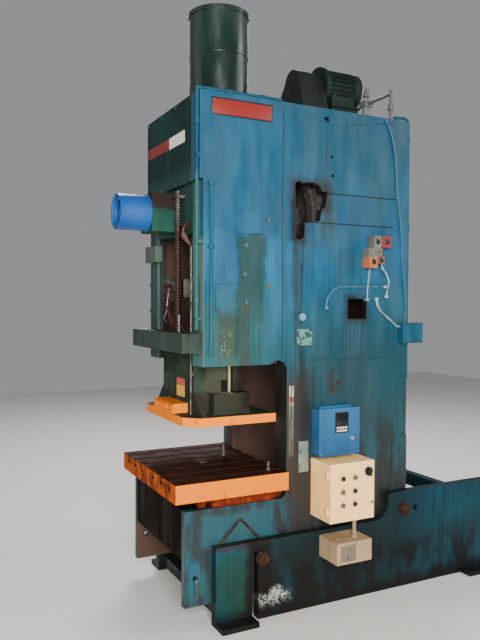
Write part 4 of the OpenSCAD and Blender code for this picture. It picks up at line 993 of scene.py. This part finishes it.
# Pipe fittings: couplings on the conduits along the head's front, rear and top edges, and the elbow
# that turns the rear one in over the top plate.
pipe_x, pipe_front, pipe_rear, pipe_top = 0.371, -0.989, 0.329, 2.660
coupling = [(-0.018, 0.0085), (-0.016, 0.0115), (0.016, 0.0115), (0.018, 0.0085)]
couplings = [turned(coupling, (pipe_x, pipe_front, z), "z") for z in (1.62, 2.10, 2.50)]
couplings += [turned(coupling, (pipe_x, pipe_rear, z), "z") for z in (1.45, 2.05, 2.55)]
couplings += [turned(coupling, (pipe_x, y, pipe_top), "y") for y in (-0.82, -0.62)]
skin("conduit_couplings", couplings, conduit_enamel)
elbow_path = [
    (pipe_x, pipe_rear, 2.60), (pipe_x, pipe_rear, 2.640), (pipe_x, 0.318, 2.662), (pipe_x, 0.290, 2.668),
    (0.360, 0.235, 2.668),
]
skin("rear_elbow", [tube(elbow_path, 0.0085)], conduit_enamel)


# Bolts on the right side: hexagon heads on washers, small ones in the corners of the two thicker
# cover plates, painted with them, and four larger ones down the front of the side plate.
def hex_head(place, axis, across, height):
    """A hexagon head on a washer: a six-sided prism, its top edge turned down a little."""
    washer, chamfer = 0.0025, 0.0015
    outer = across / 2 / np.cos(np.pi / 6)
    disc = turned([(0, across * 0.78), (washer, across * 0.78)], place, axis, 24)
    profile = [(washer, outer), (height - chamfer, outer), (height, outer * 0.86)]
    return [disc, turned(profile, place, axis, 6)]


cover_face = side + 0.008
cover_bolts = []
for bolts_y, bolts_z in (((-0.762, -0.640), (1.968, 2.070)), ((-0.884, -0.768), (1.574, 1.688))):
    for y in bolts_y:
        for z in bolts_z:
            cover_bolts += hex_head((cover_face, y, z), "x", 0.011, 0.005)
skin("cover_bolts", cover_bolts, side_enamel, smooth=False)
plate_bolts = []
for z in (1.32, 1.44, 1.56, 1.68):
    plate_bolts += hex_head((side, -0.860, z), "x", 0.018, 0.010)
skin("plate_bolts", plate_bolts, bolt_enamel, smooth=False)


# Tank trim: the lap weld round its foot and a band weld 0.3 m above it.
tank_low, tank_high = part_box("air_tank")
tank_x, tank_y = (tank_low.x + tank_high.x) / 2, (tank_low.y + tank_high.y) / 2
weld_radius = 0.162
turn_round = np.linspace(0, 2 * np.pi, 241)
ring_x = tank_x + weld_radius * np.cos(turn_round)
ring_y = tank_y + weld_radius * np.sin(turn_round)
rings = [
    weld(np.stack([ring_x, ring_y, np.full_like(ring_x, z)], 1), 0.003)
    for z in (tank_low.z + 0.016, tank_low.z + 0.30)
]
skin("tank_welds", rings, tank_enamel)


# Motor trim: the rings of the fan cowl's end, the lid of its terminal box and four foot bolts.
motor_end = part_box("motor")[1].y
motor_x, motor_z = 0.120, 2.850
cowl_rings = []
for r in (0.088, 0.074, 0.060, 0.046, 0.032):
    profile = [(0, r), (0.002, r), (0.002, r - 0.004), (0, r - 0.004)]
    cowl_rings.append(turned(profile, (motor_x, motor_end, motor_z), "y", 48))
skin("fan_cowl_rings", cowl_rings, motor_enamel)
lid_x, lid_y, lid_z = -0.023, (-0.061, 0.011), (2.845, 2.907)
lid = [sheet(lid_x, 0, -0.0015, lid_y, lid_z, 0.006, 0.0006)]
for y in inwards(lid_y, 0.008):
    for z in inwards(lid_z, 0.008):
        lid.append(screw_head((lid_x - 0.0012, y, z), "x", 0.003, -0.0015))
skin("terminal_lid", lid, motor_enamel)
foot_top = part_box("motor_base")[1].z + 0.0505
foot_bolts = []
for x in (motor_x - 0.093, motor_x + 0.093):
    for y in (-0.07, 0.03):
        foot_bolts += hex_head((x, y, foot_top), "z", 0.014, 0.008)
skin("motor_bolts", foot_bolts, bolt_rust, smooth=False)


# Valve trim: dark plugs in the bodies' outer faces and three bronze bleed screws.
plugs = []
for x, y, z, r in (
    (0.4445, 0.060, 1.948, 0.015),
    (0.4445, 0.124, 1.950, 0.015),
    (0.4465, 0.031, 1.838, 0.016),
    (0.4425, 0.086, 1.848, 0.014),
):
    plugs.append(turned([(0, r), (0.004, r), (0.0065, r * 0.8), (0.007, r * 0.35)], (x, y, z)))
skin("valve_ports", plugs, black_cap)
bleed_screw = [(0, 0.006), (0.006, 0.006), (0.008, 0.004)]
bleed_screws = [turned(bleed_screw, (0.4385, y, 1.893)) for y in (0.048, 0.070, 0.092)]
skin("valve_screws", bleed_screws, bush_bronze)


# Stud nuts: each T-slot stud carries a nut and washer run up its thread.
nuts = []
for x, y, tall in ((-0.090, -0.621, 0.074), (0.330, -0.559, 0.046)):
    foot = (x, y, bolster_high.z)
    nuts.append(turned([(0, 0.020), (0.003, 0.020)], foot, "z", 28))
    nuts.append(turned([(0.003, 0.0139), (0.016, 0.0139), (0.018, 0.0125)], foot, "z", 6))
    rib = np.arange(0.020, tall, 0.0007)
    thread = [(h, 0.0082 + 0.0006 * (i % 3 == 1)) for i, h in enumerate(rib)]
    nuts.append(turned(thread, foot, "z", 16))
skin("stud_nuts", nuts, stud_steel, smooth=False)


# Slide trim: a plain patch of two colours, thin film stuck on the middle of the slide's front.
slide_front = -0.940
patch_x = (-0.014, 0.098)
patch_red = moulded("faded red film", "#b8463a", 0.5)
patch_yellow = moulded("faded yellow film", "#d8a040", 0.5)
upper = front_sheet(slide_front, 0.0008, patch_x, (1.168, 1.203), 0.002, 0.0003)
skin("upper_patch", [upper], patch_red, "slide")
lower = front_sheet(slide_front, 0.0008, patch_x, (1.106, 1.166), 0.002, 0.0003)
skin("lower_patch", [lower], patch_yellow, "slide")


# Control door trim: a stainless bezel ring round each button, a pale ring under the handle, and a
# locking screw at the door's free edge.
door_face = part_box("control_door")[1].x - 0.003
bezel_steel = machined_steel("satin stainless steel", "#b9b6ae", "#6a6050", 0.3)
bezel = [(0.0002, 0.0175), (0.0022, 0.0175), (0.0038, 0.0160), (0.0040, 0.0152), (0.0002, 0.0152)]
bezels = [
    turned(bezel, (door_face, y, z), "x", 32) for z in (0.704, 0.634, 0.566) for y in (-0.255, -0.180)
]
skin("button_bezels", bezels, bezel_steel, "control_door")
lock = [(0, 0.009), (0.004, 0.009), (0.005, 0.008), (0.005, 0.003), (0.003, 0.003)]
lock_screw = turned(lock, (door_face, -0.064, 0.560))
skin("door_lock", [lock_screw], bezel_steel, "control_door")
collar = [(0, 0.030), (0.0003, 0.031), (0.0004, 0.029), (0.0004, 0.025), (0, 0.025)]
handle_ring = turned(collar, (door_face, -0.089, 0.726), "x", 40)
skin("handle_plate", [handle_ring], pale_lacquer, "control_door")
